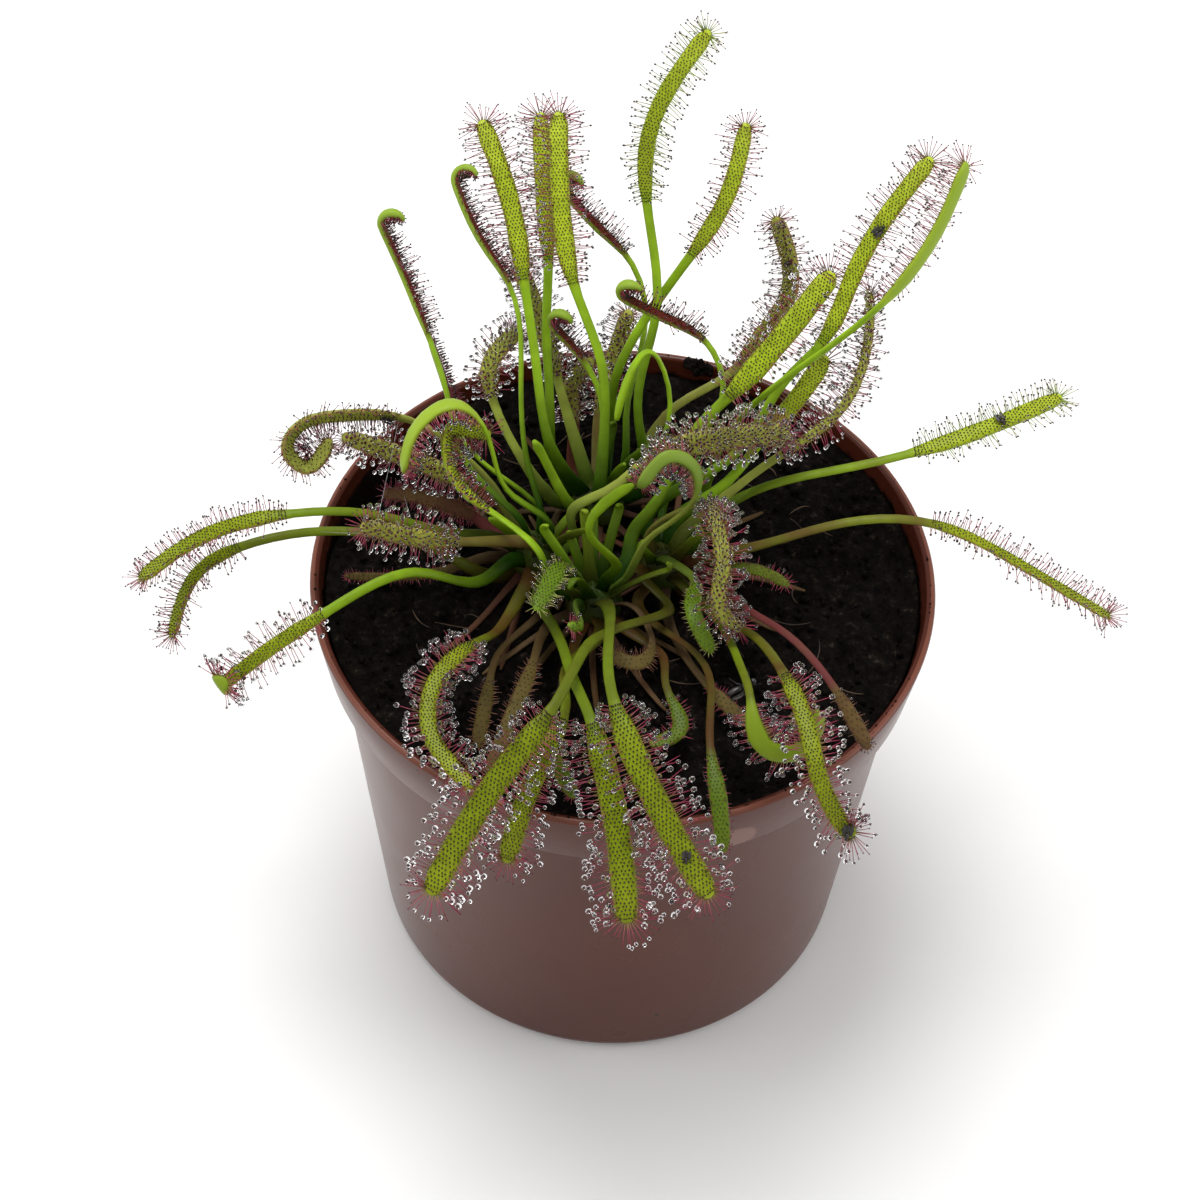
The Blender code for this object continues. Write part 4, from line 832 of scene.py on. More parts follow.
# of each kind: stalk low, stalk high, blade, blade's tip, edge and underside; stalk low is deep, dark green,
# partly the stalk's own colour and partly painted shade of the crowded crown
tissueColours = {
    "green": ("#173E02", "#86AA1C", "#ACBF28", "#BCCD3C", "#9A9432", "#8FA830"),
    "broad": ("#173E02", "#7A9A1C", "#A2B822", "#BED034", "#948A30", "#8CA42C"),
    "young": ("#1C4402", "#86AA20", "#6A2A1C", "#848A34", "#868E3A", "#86A034"),
    "dewy": ("#506820", "#8C983C", "#A6AE46", "#B2B852", "#B05266", "#7E983A"),
    "small": ("#2E4E10", "#687E30", "#6C8C22", "#789630", "#6E6A2C", "#6A8428"),
    "old": ("#33281A", "#54442A", "#62552C", "#5C4C2C", "#5E342A", "#5A5228"),
}
# a leaf's fine surface: sides of its round, stations to a millimetre, the turn in degrees and the run in
# stations after which one is kept, how flat its faces are, how deep it stands in the crown in millimetres,
# how much wider a stalk is at its base and over how many millimetres, the channel's depth, the margins' wave,
# and the shares of the width at a bent tip
leafDetail = {
    "sides": 12, "refine": 2, "turn": 9.0, "run": 5, "flatness": 0.62, "sunk": 2.3, "baseWider": 0.75,
    "baseReach": 14, "channel": 0.16, "wave": 0.035, "knob": (0.8, 0.95, 1.0, 1.0, 0.92, 0.78, 0.5),
}


def refined(values, parts):
    # Catmull-Rom blend of the rows of values, with that many steps to each old one
    padded = np.concatenate([2 * values[:1] - values[1:2], values, 2 * values[-1:] - values[-2:-1]])
    t = (np.arange(parts) / parts)[None, :, None]
    a, b, c, d = (padded[k:len(values) - 1 + k, None] for k in range(4))
    curve = b + 0.5 * t * (c - a + t * (2 * a - 5 * b + 4 * c - d + t * (3 * (b - c) + d - a)))
    return np.concatenate([curve.reshape(-1, values.shape[1]), values[-1:]])


def fineLeaf(name, plan, route):
    # the combed midrib in steps of half a millimetre, its tip bent on an arc, its frames and half widths
    points, kneeAt, middle, half = plan
    parts = leafDetail["refine"]
    notes = leafNotes.get(name, {})
    face = notes.get("face", route[2])
    fine = refined(points, parts)
    tangents, faces, sides = carryFrames(fine, middle * parts, face)
    if name in tipBends:
        radius, turn, toFace, toSide, _ = tipBends[name]
        run = int(radius * math.radians(turn) * parts)
        last = len(fine) - 1 - run
        toward = unit(toFace * faces[last] + toSide * sides[last])
        angle = (np.arange(1, run + 1) / parts / radius)[:, None]
        arc = np.sin(angle) * tangents[last] + (1 - np.cos(angle)) * toward
        fine[last + 1:] = fine[last] + radius * arc
        tangents, faces, sides = carryFrames(fine, min(middle * parts, last), face)
    stalkThick, bladeThick, stalkShare, bladeShare = leafSections[route[1]]
    bladeShare *= notes.get("wide", 1.0)
    stalkShare *= notes.get("stalk", 1.0)
    knee = kneeAt * parts
    step = np.arange(len(fine))
    blade = np.clip((step - knee) / (parts * leafPlan["shoulder"]), 0, 1)
    wide = np.clip(refined(half[:, None], parts)[:, 0], 0.2, None)
    wide *= stalkShare + (bladeShare - stalkShare) * blade
    wide *= 1 + leafDetail["baseWider"] * np.clip(1 - step / (parts * leafDetail["baseReach"]), 0, 1)
    if name in tipBends:
        knob = np.array(leafDetail["knob"])
        wide[-len(knob):] = wide[knee + 12] * tipBends[name][4] * knob
    return {
        "points": fine, "tangents": tangents, "faces": faces, "sides": sides, "half": wide,
        "thick": stalkThick + (bladeThick - stalkThick) * blade, "blade": blade, "knee": knee,
    }


def keptStations(leaf):
    # stations where the leaf has turned far enough since the last, or run far enough
    tangents = leaf["tangents"]
    turn = np.degrees(np.arccos(np.clip((tangents[1:] * tangents[:-1]).sum(axis=1), -1, 1)))
    kept, turned = [0], 0.0
    last = len(tangents) - 1
    for here in range(1, last + 1):
        turned += turn[here - 1]
        if turned > leafDetail["turn"] or here - kept[-1] >= leafDetail["run"] or here > last - 5:
            kept.append(here)
            turned = 0.0
    return np.array(kept)


def tissueSurface(leaf, sunk):
    # rings of a flattened round: thickness * cos(a) to a low power along the face, half width * sin(a) aside;
    # the first ring goes down into the crown and the last closes in a pole
    kept, sides, last = keptStations(leaf), leafDetail["sides"], len(leaf["points"]) - 1
    half, faces, aside = leaf["half"][kept], leaf["faces"][kept][:, None], leaf["sides"][kept][:, None]
    angle = np.arange(sides) * 2 * math.pi / sides
    share = leaf["blade"][kept]
    points = leaf["points"][kept].copy()
    points[0] -= sunk * leaf["tangents"][0]
    low = 1 - (1 - leafDetail["flatness"]) * share[:, None]
    up = np.sign(np.cos(angle)) * np.abs(np.cos(angle)) ** low
    # the dewy side is a shallow channel, the tip thins out and the margins wave a little
    up -= leafDetail["channel"] * share[:, None] * np.clip(np.cos(angle), 0, 1) ** 3
    thin = leaf["thick"][kept] * np.sqrt(np.clip(half / leaf["half"].max(), 0.35, 1))
    wave = (1 + leafDetail["wave"] * np.sin(kept * 0.9) * share) * np.where(kept == 0, 1.15, 1)
    rings = points[:, None] + (up * thin[:, None])[..., None] * faces
    rings += (np.sin(angle) * (half * wave)[:, None])[..., None] * aside
    count = len(kept)
    tip = points[-1] + 0.45 * half[-1] * leaf["tangents"][-1]
    places = np.concatenate([rings.reshape(-1, 3), [points[0] - 0.3 * leaf["tangents"][0], tip]])
    end = count * sides
    caps = np.concatenate([capFaces(0, sides, end, False), capFaces(end - sides, sides, end + 1, True)])
    run = kept / max(leaf["knee"], 1)
    past = (kept - leaf["knee"]) / max(last - leaf["knee"], 1)
    along = np.where(kept < leaf["knee"], np.clip(run, 0, 1), 1 + np.clip(past, 0, 1))
    layers = {
        "along": np.concatenate([np.repeat(along, sides), [0, 2]]),
        "edge": np.concatenate([np.tile(np.abs(np.sin(angle)), count), [0, 1]]),
        "dewy": np.concatenate([np.tile(np.cos(angle) * 0.5 + 0.5, count), [0.5, 0.5]]),
    }
    return places, ringFaces(count, sides), caps, layers


def bladePlace(leaf, at, across):
    # a point on the dewy side of the blade: at is a station with a fraction, across runs from -1 to 1
    low = np.clip(np.floor(at).astype(int), 0, len(leaf["points"]) - 2)
    share = (at - low)[:, None]
    keys = ("points", "tangents", "faces", "sides")
    f = {key: leaf[key][low] * (1 - share) + leaf[key][low + 1] * share for key in keys}
    half = leaf["half"][low] * (1 - share[:, 0]) + leaf["half"][low + 1] * share[:, 0]
    height = leaf["thick"][low] * (0.92 * np.clip(1 - np.abs(across) ** 3, 0, 1) ** 0.5) - 0.1
    return f["points"] + (across * half * 0.96)[:, None] * f["sides"] + height[:, None] * f["faces"], f


# margins: the place of the outermost as a share of the half width, how much further in the innermost stand,
# the share of length that those lose, and the spread of lengths and drops; tip: half the fan's angle in
# degrees, its tentacles on a leaf with long ones and with short ones, and the spread of lengths; blade: how
# far glands stray from their place as a share of a step, the share of tall ones with a drop, and its radius
groupLooks = {
    "outermost": 0.97, "inward": 0.3, "shorter": 0.5, "lengths": (0.66, 1.06), "drops": (0.7, 1.12),
    "fan": 115, "fanCounts": (22, 10), "fanLengths": (0.6, 1.0),
    "stray": 0.13, "tallWet": 0.95, "tallDrop": 0.27,
}


def marginGroup(leaf, looks, first, last):
    # the outer tentacles lie flat and are the longest, the inner ones lean to the dewy side and are shorter
    g = groupLooks
    count = max(8, int(looks["perMm"] * (last - first) / leafDetail["refine"] * 2))
    share = (np.arange(count) + draw.uniform(0, 1, count)) / count
    side = np.where(np.arange(count) % 2 == 0, 1.0, -1.0)
    inward = draw.random(count) ** 1.2
    across = side * (g["outermost"] - g["inward"] * inward)
    place, f = bladePlace(leaf, first + share * (last - first), across)
    flat, steep = looks["lean"]
    lean = np.radians(flat + (steep - flat) * inward + draw.uniform(-7, 7, count))[:, None]
    ahead = (0.28 * draw.uniform(-1, 1, count) + 0.3 * (share - 0.4))[:, None]
    way = unit(side[:, None] * np.cos(lean) * f["sides"] + np.sin(lean) * f["faces"] + ahead * f["tangents"])
    size = looks["length"] * (1 - g["shorter"] * inward) * draw.uniform(*g["lengths"], count)
    size *= np.interp(share, [0, 0.12, 0.4, 1], [0.55, 0.9, 1.0, looks["atTip"]])
    wet = (draw.random(count) < looks["wet"]) * looks["drop"] * draw.uniform(*g["drops"], count)
    if looks["atTip"] < 0.5:
        wet *= np.interp(share, [0, 0.55, 0.8], [1, 0.8, 0])
    return place - 0.15 * way, way, size, 0.10 * f["faces"], wet


def tipGroup(leaf, looks):
    # long red tentacles that spread like a fan, most of them with only their gland
    g = groupLooks
    count = g["fanCounts"][0 if looks["length"] > 2 else 1]
    fan = np.radians(np.linspace(-g["fan"], g["fan"], count) + draw.uniform(-6, 6, count))[:, None]
    tangent, face, side = leaf["tangents"][-1], leaf["faces"][-1], leaf["sides"][-1]
    rise = draw.uniform(-0.25, 0.95, count)[:, None]
    way = unit(np.cos(fan) * tangent + np.sin(fan) * side + rise * face)
    place = leaf["points"][-2] + 0.3 * np.cos(fan) * tangent + 0.6 * leaf["half"][-3] * np.sin(fan) * side
    size = looks["length"] * looks["atTip"] * draw.uniform(*g["fanLengths"], count)
    wet = (draw.random(count) < 0.25 * (looks["wet"] > 0.5)) * looks["drop"] * 0.7
    return place, way, size, draw.uniform(-0.1, 0.1, (count, 1)) * face, wet


def bladeGroup(leaf, looks, first, last):
    # rows of glands on short stalks across the blade, each row shifted by half a step
    g = groupLooks
    rows = max(3, int((last - first) / leafDetail["refine"] / looks["spacing"]))
    broad = leaf["half"][leaf["knee"] + 8:]
    step = min(0.6, looks["spacing"] / float(np.median(broad))) if len(broad) else 0.6
    columns = int(1.7 / step)
    across = (np.arange(columns) + 0.5) * step - 0.5 * columns * step
    row, column = np.meshgrid(np.arange(rows), across, indexing="ij")
    shifted = column + 0.5 * step * (row % 2) - 0.25 * step
    column = (shifted + draw.uniform(-g["stray"], g["stray"], row.shape) * step).ravel()
    at = first + (row.ravel() + draw.uniform(0.34, 0.66, row.size)) / rows * (last - first)
    place, f = bladePlace(leaf, at, column)
    way = unit(f["faces"] + 0.55 * column[:, None] * f["sides"] + 0.2 * draw.uniform(-1, 1, (row.size, 3)))
    size = looks["stand"] * (0.75 + 0.9 * column ** 2) * draw.uniform(0.8, 1.3, row.size)
    wet = np.zeros(row.size)
    if looks["stand"] > 1:
        wet = (draw.random(row.size) < g["tallWet"]) * g["tallDrop"] * draw.uniform(0.8, 1.2, row.size)
    return place - 0.1 * way, way, size, np.zeros((row.size, 3)), wet


def planTentacles(leaf, looks):
    # roots, ways, lengths, bends and drop sizes of the tentacles on the margins, at the tip and on the blade
    first, last = leaf["knee"] + 2, len(leaf["points"]) - 1.5
    groups = [marginGroup(leaf, looks, first, last), tipGroup(leaf, looks)]
    groups.append(bladeGroup(leaf, looks, first, last))
    root, way, size, bend, drop = (np.concatenate(parts) for parts in zip(*groups))
    inner = np.arange(len(size)) >= len(size) - len(groups[2][2])
    return {
        "root": root, "way": way, "size": size, "bend": bend * size[:, None], "drop": drop, "inner": inner,
        "club": inner & (looks["stand"] < 1), "gland": np.where(inner, looks["dot"], tentacleShape["gland"]),
    }


def clearOnes(t, own, scenery):
    # keeps the tentacles whose outer half stays out of other leaves, the peat and the pot's wall
    points, owner, reach = scenery
    keep = np.ones(len(t["size"]), bool)
    low, high = t["root"].min(axis=0) - 7, t["root"].max(axis=0) + 7
    close = (owner != own) & (points > low).all(axis=1) & (points < high).all(axis=1)
    mouth = innerRadius(potLooks["height"])
    for share in (0.45, 0.75, 1.0):
        sample = t["root"] + t["way"] * (t["size"] * share)[:, None] + t["bend"] * share ** 2
        if close.any():
            distance = np.linalg.norm(sample[:, None] - points[close][None], axis=-1) - reach[close][None]
            keep &= distance.min(axis=1) > 0.1
        spread = np.hypot(sample[:, 0], sample[:, 1])
        keep &= ~((spread < mouth) & (sample[:, 2] < peatHeight(sample[:, 0], sample[:, 1]) + 0.5))
        inWall = (spread > mouth - 0.6) & (spread < potLooks["rimRadius"] + 0.5)
        keep &= ~(inWall & (sample[:, 2] < potLooks["height"] + 0.5))
    return {key: value[keep] for key, value in t.items()}


def roundTemplate():
    # a ball of 24 faces: each of a cube's six faces is a grid of two by two, pushed out to the ball
    u, v = (grid.ravel() for grid in np.meshgrid([-1.0, 0.0, 1.0], [-1.0, 0.0, 1.0], indexing="ij"))
    out = np.ones(9)
    sheets = [[out, u, v], [-out, v, u], [v, out, u], [u, -out, v], [u, v, out], [v, u, -out]]
    sheets = np.stack(sheets).transpose(0, 2, 1)
    places, number = np.unique(sheets.reshape(-1, 3), axis=0, return_inverse=True)
    square = np.array([[0, 3, 4, 1], [1, 4, 5, 2], [3, 6, 7, 4], [4, 7, 8, 5]])
    return unit(places), number.reshape(-1)[tiled(square, 9, 6)]


def turnedFrames(ways):
    # two directions square to each way
    helper = np.where(np.abs(ways[:, 2:]) > 0.8, [[1.0, 0.0, 0.0]], [[0.0, 0.0, 1.0]])
    across = unit(np.cross(ways, helper))
    return across, np.cross(ways, across)


def threadSurface(lines, ways, widths):
    # rings of three points round each line, across its way, as wide as widths says, closed at both ends
    across, other = turnedFrames(ways)
    count, rings = lines.shape[:2]
    angle = np.arange(3) * 2 * math.pi / 3
    around = np.cos(angle)[None, :, None] * across[:, None] + np.sin(angle)[None, :, None] * other[:, None]
    points = lines[:, :, None] + widths[None, :, None, None] * around[:, None]
    last = 3 * rings - 3
    ends = np.array([[2, 1, 0], [last, last + 1, last + 2]])
    return points.reshape(-1, 3), tiled(ringFaces(rings, 3), 3 * rings, count), tiled(ends, 3 * rings, count)


# radii of a tentacle's stalk on the margins at its foot, middle and end, and on the blade at its foot and
# end, the radius of a gland on the margins, how long a gland and a drop are for their width, the least drop
tentacleShape = {
    "outer": (0.085, 0.06, 0.046), "inner": (0.08, 0.05), "gland": 0.12, "glandLong": 1.35, "dropLong": 1.12,
    "leastDrop": 0.05,
}


def stalkSurface(t, shares, widths):
    # threads along root + way * length * s + bend * s * s, and how far along its stalk each point is
    reach = t["way"][:, None] * (t["size"][:, None] * shares)[..., None]
    lines = t["root"][:, None] + reach + t["bend"][:, None] * shares[None, :, None] ** 2
    return *threadSurface(lines, t["way"], widths), np.repeat(np.tile(shares, len(t["size"])), 3)


def tentacleSurfaces(t):
    # stalks bend on the margins and are straight on the blade; glands are double cones of four sides, which
    # on most blades reach down to the skin as clubs; drops are the ball, drawn out a little along its stalk
    shape = tentacleShape
    outer = {key: value[~t["inner"]] for key, value in t.items()}
    inner = {key: value[t["inner"] & ~t["club"]] for key, value in t.items()}
    long = stalkSurface(outer, np.linspace(0, 1, 3), np.array(shape["outer"]))
    short = stalkSurface(inner, np.linspace(0, 1, 2), np.array(shape["inner"]))
    stalks = np.concatenate([long[0], short[0]])
    stalkQuads, stalkCaps = (np.concatenate([long[k], short[k] + len(long[0])]) for k in (1, 2))
    across, other = turnedFrames(t["way"])
    ends = t["root"] + t["way"] * t["size"][:, None] + t["bend"]
    radius = t["gland"][:, None, None]
    square = np.stack([across, other, -across, -other], axis=1)
    length = shape["glandLong"] * radius * t["way"][:, None]
    lower = np.where(t["club"][:, None, None], t["root"][:, None], ends[:, None] - length)
    glands = np.concatenate([ends[:, None] + radius * square, lower, ends[:, None] + length], axis=1)
    glandHigh = np.ones((len(ends), 6))
    glandHigh[t["club"], 4] = 0
    pattern = [[0, 1, 5], [1, 2, 5], [2, 3, 5], [3, 0, 5], [1, 0, 4], [2, 1, 4], [3, 2, 4], [0, 3, 4]]
    glandFaces = tiled(np.array(pattern), 6, len(ends))
    wet = t["drop"] > shape["leastDrop"]
    ball, ballFaces = roundTemplate()
    basis = np.stack([across[wet], other[wet], shape["dropLong"] * t["way"][wet]], axis=1)
    drops = ends[wet][:, None] + t["drop"][wet][:, None, None] * (ball[None] @ basis)
    dropFaces = tiled(ballFaces, len(ball), int(wet.sum()))
    highs = np.concatenate([long[3], short[3], glandHigh.ravel()])
    glands, drops = glands.reshape(-1, 3), drops.reshape(-1, 3)
    return stalks, stalkQuads, stalkCaps, highs, glands, glandFaces, drops, dropFaces


def makeTissue(kind):
    # living leaf tissue: a satin skin with a thin wet coat, green from the chlorophyll below, red where the
    # light is strongest, at the edges and on flushed stalks, and mottled by its cells
    low, high, blade, tip, edge, under = tissueColours[kind]
    dry = kind == "old"
    skin = {"IOR": 1.42, "Specular IOR Level": 0.14, "Roughness": 0.6 if dry else 0.42}
    coat = {"Coat Weight": 0.0 if dry else 0.03, "Coat Roughness": 0.25}
    material, shader = newMaterial("leafTissue_" + kind, blade, {**skin, **coat})
    names = ("along", "edge", "dewy", "flush", "ageAndShade")
    along, edges, dewy, flush, ageAndShade = (addNode(material, "Attribute", attribute_name=name) for name in names)
    # along a stalk the green runs from deep and dark at its foot, partly its own colour and partly painted
    # shade of the crowded crown, to bright higher up; then the blade and its tip
    run = addNode(material, "Math", {0: along, 1: 0.5}, operation="MULTIPLY")
    stops = [(0.04, low), (0.5, high), (0.34, high), (0.57, blade), (0.82, blade), (1.0, tip)]
    length = addNode(material, "ValToRGB", {0: run}, stops)
    coords = addNode(material, "TexCoord")
    cloud = addNode(material, "TexNoise", {"Vector": coords, "Scale": 420, "Detail": 4})
    patch = addNode(material, "TexNoise", {"Vector": coords, "Scale": 110, "Detail": 2})
    shade = addNode(material, "MapRange", {0: cloud, 1: 0.3, 2: 0.7, 3: 0.84, 4: 1.12})
    varied = addNode(material, "Mix", {0: 1.0, 6: length, 7: shade}, blend_type="MULTIPLY")
    isBlade = addNode(material, "MapRange", {0: along, 1: 1.0, 2: 1.12})
    # flushed stalks turn brown-red in patches, and less so on the blade
    patchy = addNode(material, "MapRange", {0: patch, 1: 0.3, 2: 0.65, 3: 0.45, 4: 1.0})
    stalkOnly = addNode(material, "MapRange", {0: isBlade, 1: 0.0, 2: 1.0, 3: 1.0, 4: 0.22})
    onStalk = addNode(material, "Math", {0: flush, 1: stalkOnly}, operation="MULTIPLY")
    redness = addNode(material, "Math", {0: onStalk, 1: patchy}, operation="MULTIPLY")
    flushed = addNode(material, "Mix", {0: redness, 6: varied, 7: "#62302E" if dry else "#603628"})
    isEdge = addNode(material, "MapRange", {0: edges, 1: 0.72, 2: 1.0})
    margin = addNode(material, "Math", {0: isBlade, 1: isEdge}, operation="MULTIPLY")
    soft = addNode(material, "Math", {0: margin, 1: 0.45}, operation="MULTIPLY")
    edged = addNode(material, "Mix", {0: soft, 6: flushed, 7: edge})
    # a young blade is still folded, so more of its round counts as underside
    above, beneath = (0.8, 0.6) if kind == "young" else (0.62, 0.42)
    isUnder = addNode(material, "MapRange", {0: dewy, 1: above, 2: beneath})
    below = addNode(material, "Math", {0: isUnder, 1: isBlade}, operation="MULTIPLY")
    whole = addNode(material, "Mix", {0: below, 6: edged, 7: under})
    # older leaves are duller and darker, and the lower and front leaves are darkened the same way as painted
    # shade
    dull = addNode(material, "Mix", {0: ageAndShade, 6: whole, 7: "#CDCDAB"}, blend_type="MULTIPLY")
    bump = addNode(material, "Bump", {"Height": cloud, "Strength": 0.25, "Distance": 0.0002})
    setInputs(shader, {"Base Color": dull, "Normal": bump})
    return material


def makeStalkMaterial(name, low, middle, high):
    # a tentacle's stalk: soft, wet and half clear, green-white at its foot and red towards its gland
    material, shader = newMaterial(name, middle, {"IOR": 1.4, "Roughness": 0.4, "Specular IOR Level": 0.3})
    up = addNode(material, "Attribute", attribute_name="along")
    tint = addNode(material, "ValToRGB", {0: up}, [(0.0, low), (0.9, high), (0.4, middle)])
    setInputs(shader, {"Base Color": tint})
    return material


def makeGlandMaterial(name, foot, code, darker):
    # the gland at a stalk's end, swollen and deep red, with a wet shine; on a blade it has a green foot
    material, shader = newMaterial(name, code, {"IOR": 1.42, "Roughness": 0.35, "Coat Weight": 0.15})
    coords = addNode(material, "TexCoord")
    cloud = addNode(material, "TexNoise", {"Vector": coords, "Scale": 700, "Detail": 1})
    tint = addNode(material, "ValToRGB", {0: cloud}, [(0.35, darker), (0.65, code)])
    up = addNode(material, "Attribute", attribute_name="along")
    high = addNode(material, "MapRange", {0: up, 1: 0.45, 2: 0.9})
    setInputs(shader, {"Base Color": addNode(material, "Mix", {0: high, 6: foot, 7: tint})})
    return material


def makeFinishes():
    tissues = {kind: makeTissue(kind) for kind in leafWidths}
    redStalk = makeStalkMaterial("tentacleStalk", "#A0A048", "#A0505E", "#962A48")
    darkStalk = makeStalkMaterial("youngStalk", "#7E4A36", "#7C2A36", "#8A3446")
    dryStalk = makeStalkMaterial("witheredStalk", "#84784A", "#84604A", "#7A4A3A")
    paleStalk = makeStalkMaterial("paleStalk", "#8FB048", "#9AA858", "#A89A6A")
    redGland = makeGlandMaterial("redGland", "#54501A", "#3E1214", "#200A0A")
    brownGland = makeGlandMaterial("brownGland", "#6A6A30", "#46221A", "#26120E")
    stalks = {kind: {"old": dryStalk, "young": darkStalk}.get(kind, redStalk) for kind in leafWidths}
    stalks["pale"] = paleStalk
    glands = {kind: brownGland if kind in ("old", "small") else redGland for kind in leafWidths}
    # mucilage: a clear, thick, sticky drop, a little denser than water
    clear = {"IOR": 1.36, "Roughness": 0.0, "Transmission Weight": 1.0}
    dew, _ = newMaterial("mucilageDew", "#FBFCFC", clear)
    return tissues, stalks, glands, dew


def leafParts(name, route, plan, own, scenery):
    # the surfaces of one leaf: points, faces of each material, attributes, and its drops
    leaf = fineLeaf(name, plan, route)
    tissue, quads, caps, layers = tissueSurface(leaf, leafDetail["sunk"])
    notes = leafNotes.get(name, {})
    t = clearOnes(planTentacles(leaf, {**tentacleLooks[route[1]], **notes}), own, scenery)
    if "calm" in notes:
        # still rolled up: as smooth as its stalk, with its tentacles inside
        t = {key: value[:0] for key, value in t.items()}
        layers["along"] = np.minimum(layers["along"], 0.95)
    stalks, stalkQuads, stalkCaps, high, glands, glandFaces, drops, dropFaces = tentacleSurfaces(t)
    first, second = len(tissue), len(tissue) + len(stalks)
    points = np.concatenate([tissue, stalks, glands])
    sets = [(quads, 0), (caps, 0), (stalkQuads + first, 1), (stalkCaps + first, 1), (glandFaces + second, 2)]
    for layer, extra in (("along", high), ("edge", 0 * high), ("dewy", 0 * high + 1)):
        layers[layer] = np.concatenate([layers[layer], extra])
    layers["flush"] = np.full(len(points), notes.get("flush", 0.06))
    layers["ageAndShade"] = np.full(len(points), notes.get("ageAndShade", 0.0))
    return points, sets, layers, drops, dropFaces, leaf


def makeLeaves(plans, scenery, finishes):
    tissues, stalks, glands, dew = finishes
    triangles, fineOnes = 0, {}
    for name, route in leafRoutes.items():
        kind, notes = route[1], leafNotes.get(name, {})
        points, sets, layers, drops, dropFaces, leaf = leafParts(
            name, route, plans[name], list(plans).index(name), scenery)
        tissue = tissues["green" if "calm" in notes else kind]
        stalk = "pale" if "pale" in notes else "green" if "calm" in notes or "crimson" in notes else kind
        piece = makePiece("leaf_" + name, points, sets, [tissue, stalks[stalk], glands[kind]], layers)
        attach(piece, "root")
        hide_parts(name)
        if len(drops):
            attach(makePiece("dew_" + name, drops, [(dropFaces, 0)], [dew]), "root")
        fineOnes[name] = leaf
        triangles += triangleCount([*sets, (dropFaces, 0)])
    print("leaves made:", len(leafRoutes), "triangles", triangles)
    return fineOnes


# Hearts: each crown with its buds, leaf bases and the withered stalks that lie round it

heartLooks = {"radius": 4.1, "tries": 320, "steps": 20, "hook": (0.9, 130), "leastRun": 4.5, "bumps": 0.25}
# of each kind of shoot: how many at most, length, half width, half thickness, how steep and how far apart
shootLooks = {
    "bud": dict(count=15, length=(5.0, 11.0), half=0.95, thick=0.46, rise=(0.7, 0.99), apart=0.29),
    "withered": dict(count=9, length=(8.0, 18.0), half=0.6, thick=0.32, rise=(0.02, 0.2), apart=0.33),
}
shootKinds = ["green", "young", "small", "old"]
budReds = [0.05, 0.05, 0.1, 0.4]


def clearRuns(paths, half, skip, points, reach):
    # for each path the share of it, from its start, that stays clear of the leaves
    close = np.linalg.norm(points - paths[:, 0].mean(axis=0), axis=1) < 26
    distance = np.linalg.norm(paths[:, :, None] - points[close][None, None], axis=-1) - reach[close]
    blocked = (distance.min(axis=2) < half + 0.15) & (np.arange(paths.shape[1]) >= skip)
    return np.where(blocked.any(axis=1), blocked.argmax(axis=1), paths.shape[1]) / paths.shape[1]


def heartShoots(centre, scenery, kind):
    # short shoots that leave the crown where the leaves leave room: buds rise and arch over a little, and
    # withered stalks go down to the peat and lie on it
    looks, tries, steps = shootLooks[kind], heartLooks["tries"], heartLooks["steps"]
    turn = draw.random(tries) * 2 * math.pi
    rise = draw.uniform(*looks["rise"], tries)
    flat = np.sqrt(1 - rise ** 2)
    way = np.stack([flat * np.cos(turn), flat * np.sin(turn), rise], axis=-1)
    length = draw.uniform(*looks["length"], tries)
    share = np.linspace(0, 1, steps)
    paths = centre + way[:, None] * (heartLooks["radius"] - 1.5 + length[:, None] * share)[..., None]
    if kind == "withered":
        curve = draw.uniform(-2.5, 2.5, tries)[:, None] * share ** 2
        paths[..., 0] -= curve * np.sin(turn)[:, None]
        paths[..., 1] += curve * np.cos(turn)[:, None]
        ground = peatHeight(paths[..., 0], paths[..., 1]) + 0.75
        paths[..., 2] = ground + np.clip(paths[..., 2] - ground, 0, None) * (1 - share) ** 2
    else:
        paths[..., 2] += 0.22 * length[:, None] * share * (1 - 0.5 * share)
        lean = (draw.uniform(0, 0.25, tries) * length)[:, None] * share ** 3
        paths += way[:, None] * [1, 1, -0.6] * lean[..., None]
    clear = clearRuns(paths, looks["half"], 5, scenery[0], scenery[2])
    room = length * clear
    taken, shoots = [], []
    for here in np.argsort(-room):
        if room[here] < heartLooks["leastRun"] or len(taken) >= looks["count"]:
            break
        apart = [math.acos(max(-1, min(1, float(way[here] @ way[other])))) for other in taken]
        if min(apart, default=9) > looks["apart"]:
            taken.append(here)
            shoots.append(paths[here, :max(6, int(clear[here] * steps))])
    return shoots


def hooked(path):
    # a young leaf's end: an arc that turns the path's last way over to the crown's side and down
    radius, degrees = heartLooks["hook"]
    along = unit(path[-1] - path[-2])
    over = unit(np.cross(np.cross(along, path[0] - path[-1] + [0, 0, 4.0]), along))
    turn = np.radians(np.arange(20, degrees + 1, 25))[:, None]
    return np.concatenate([path, path[-1] + radius * (np.sin(turn) * along + (1 - np.cos(turn)) * over)])


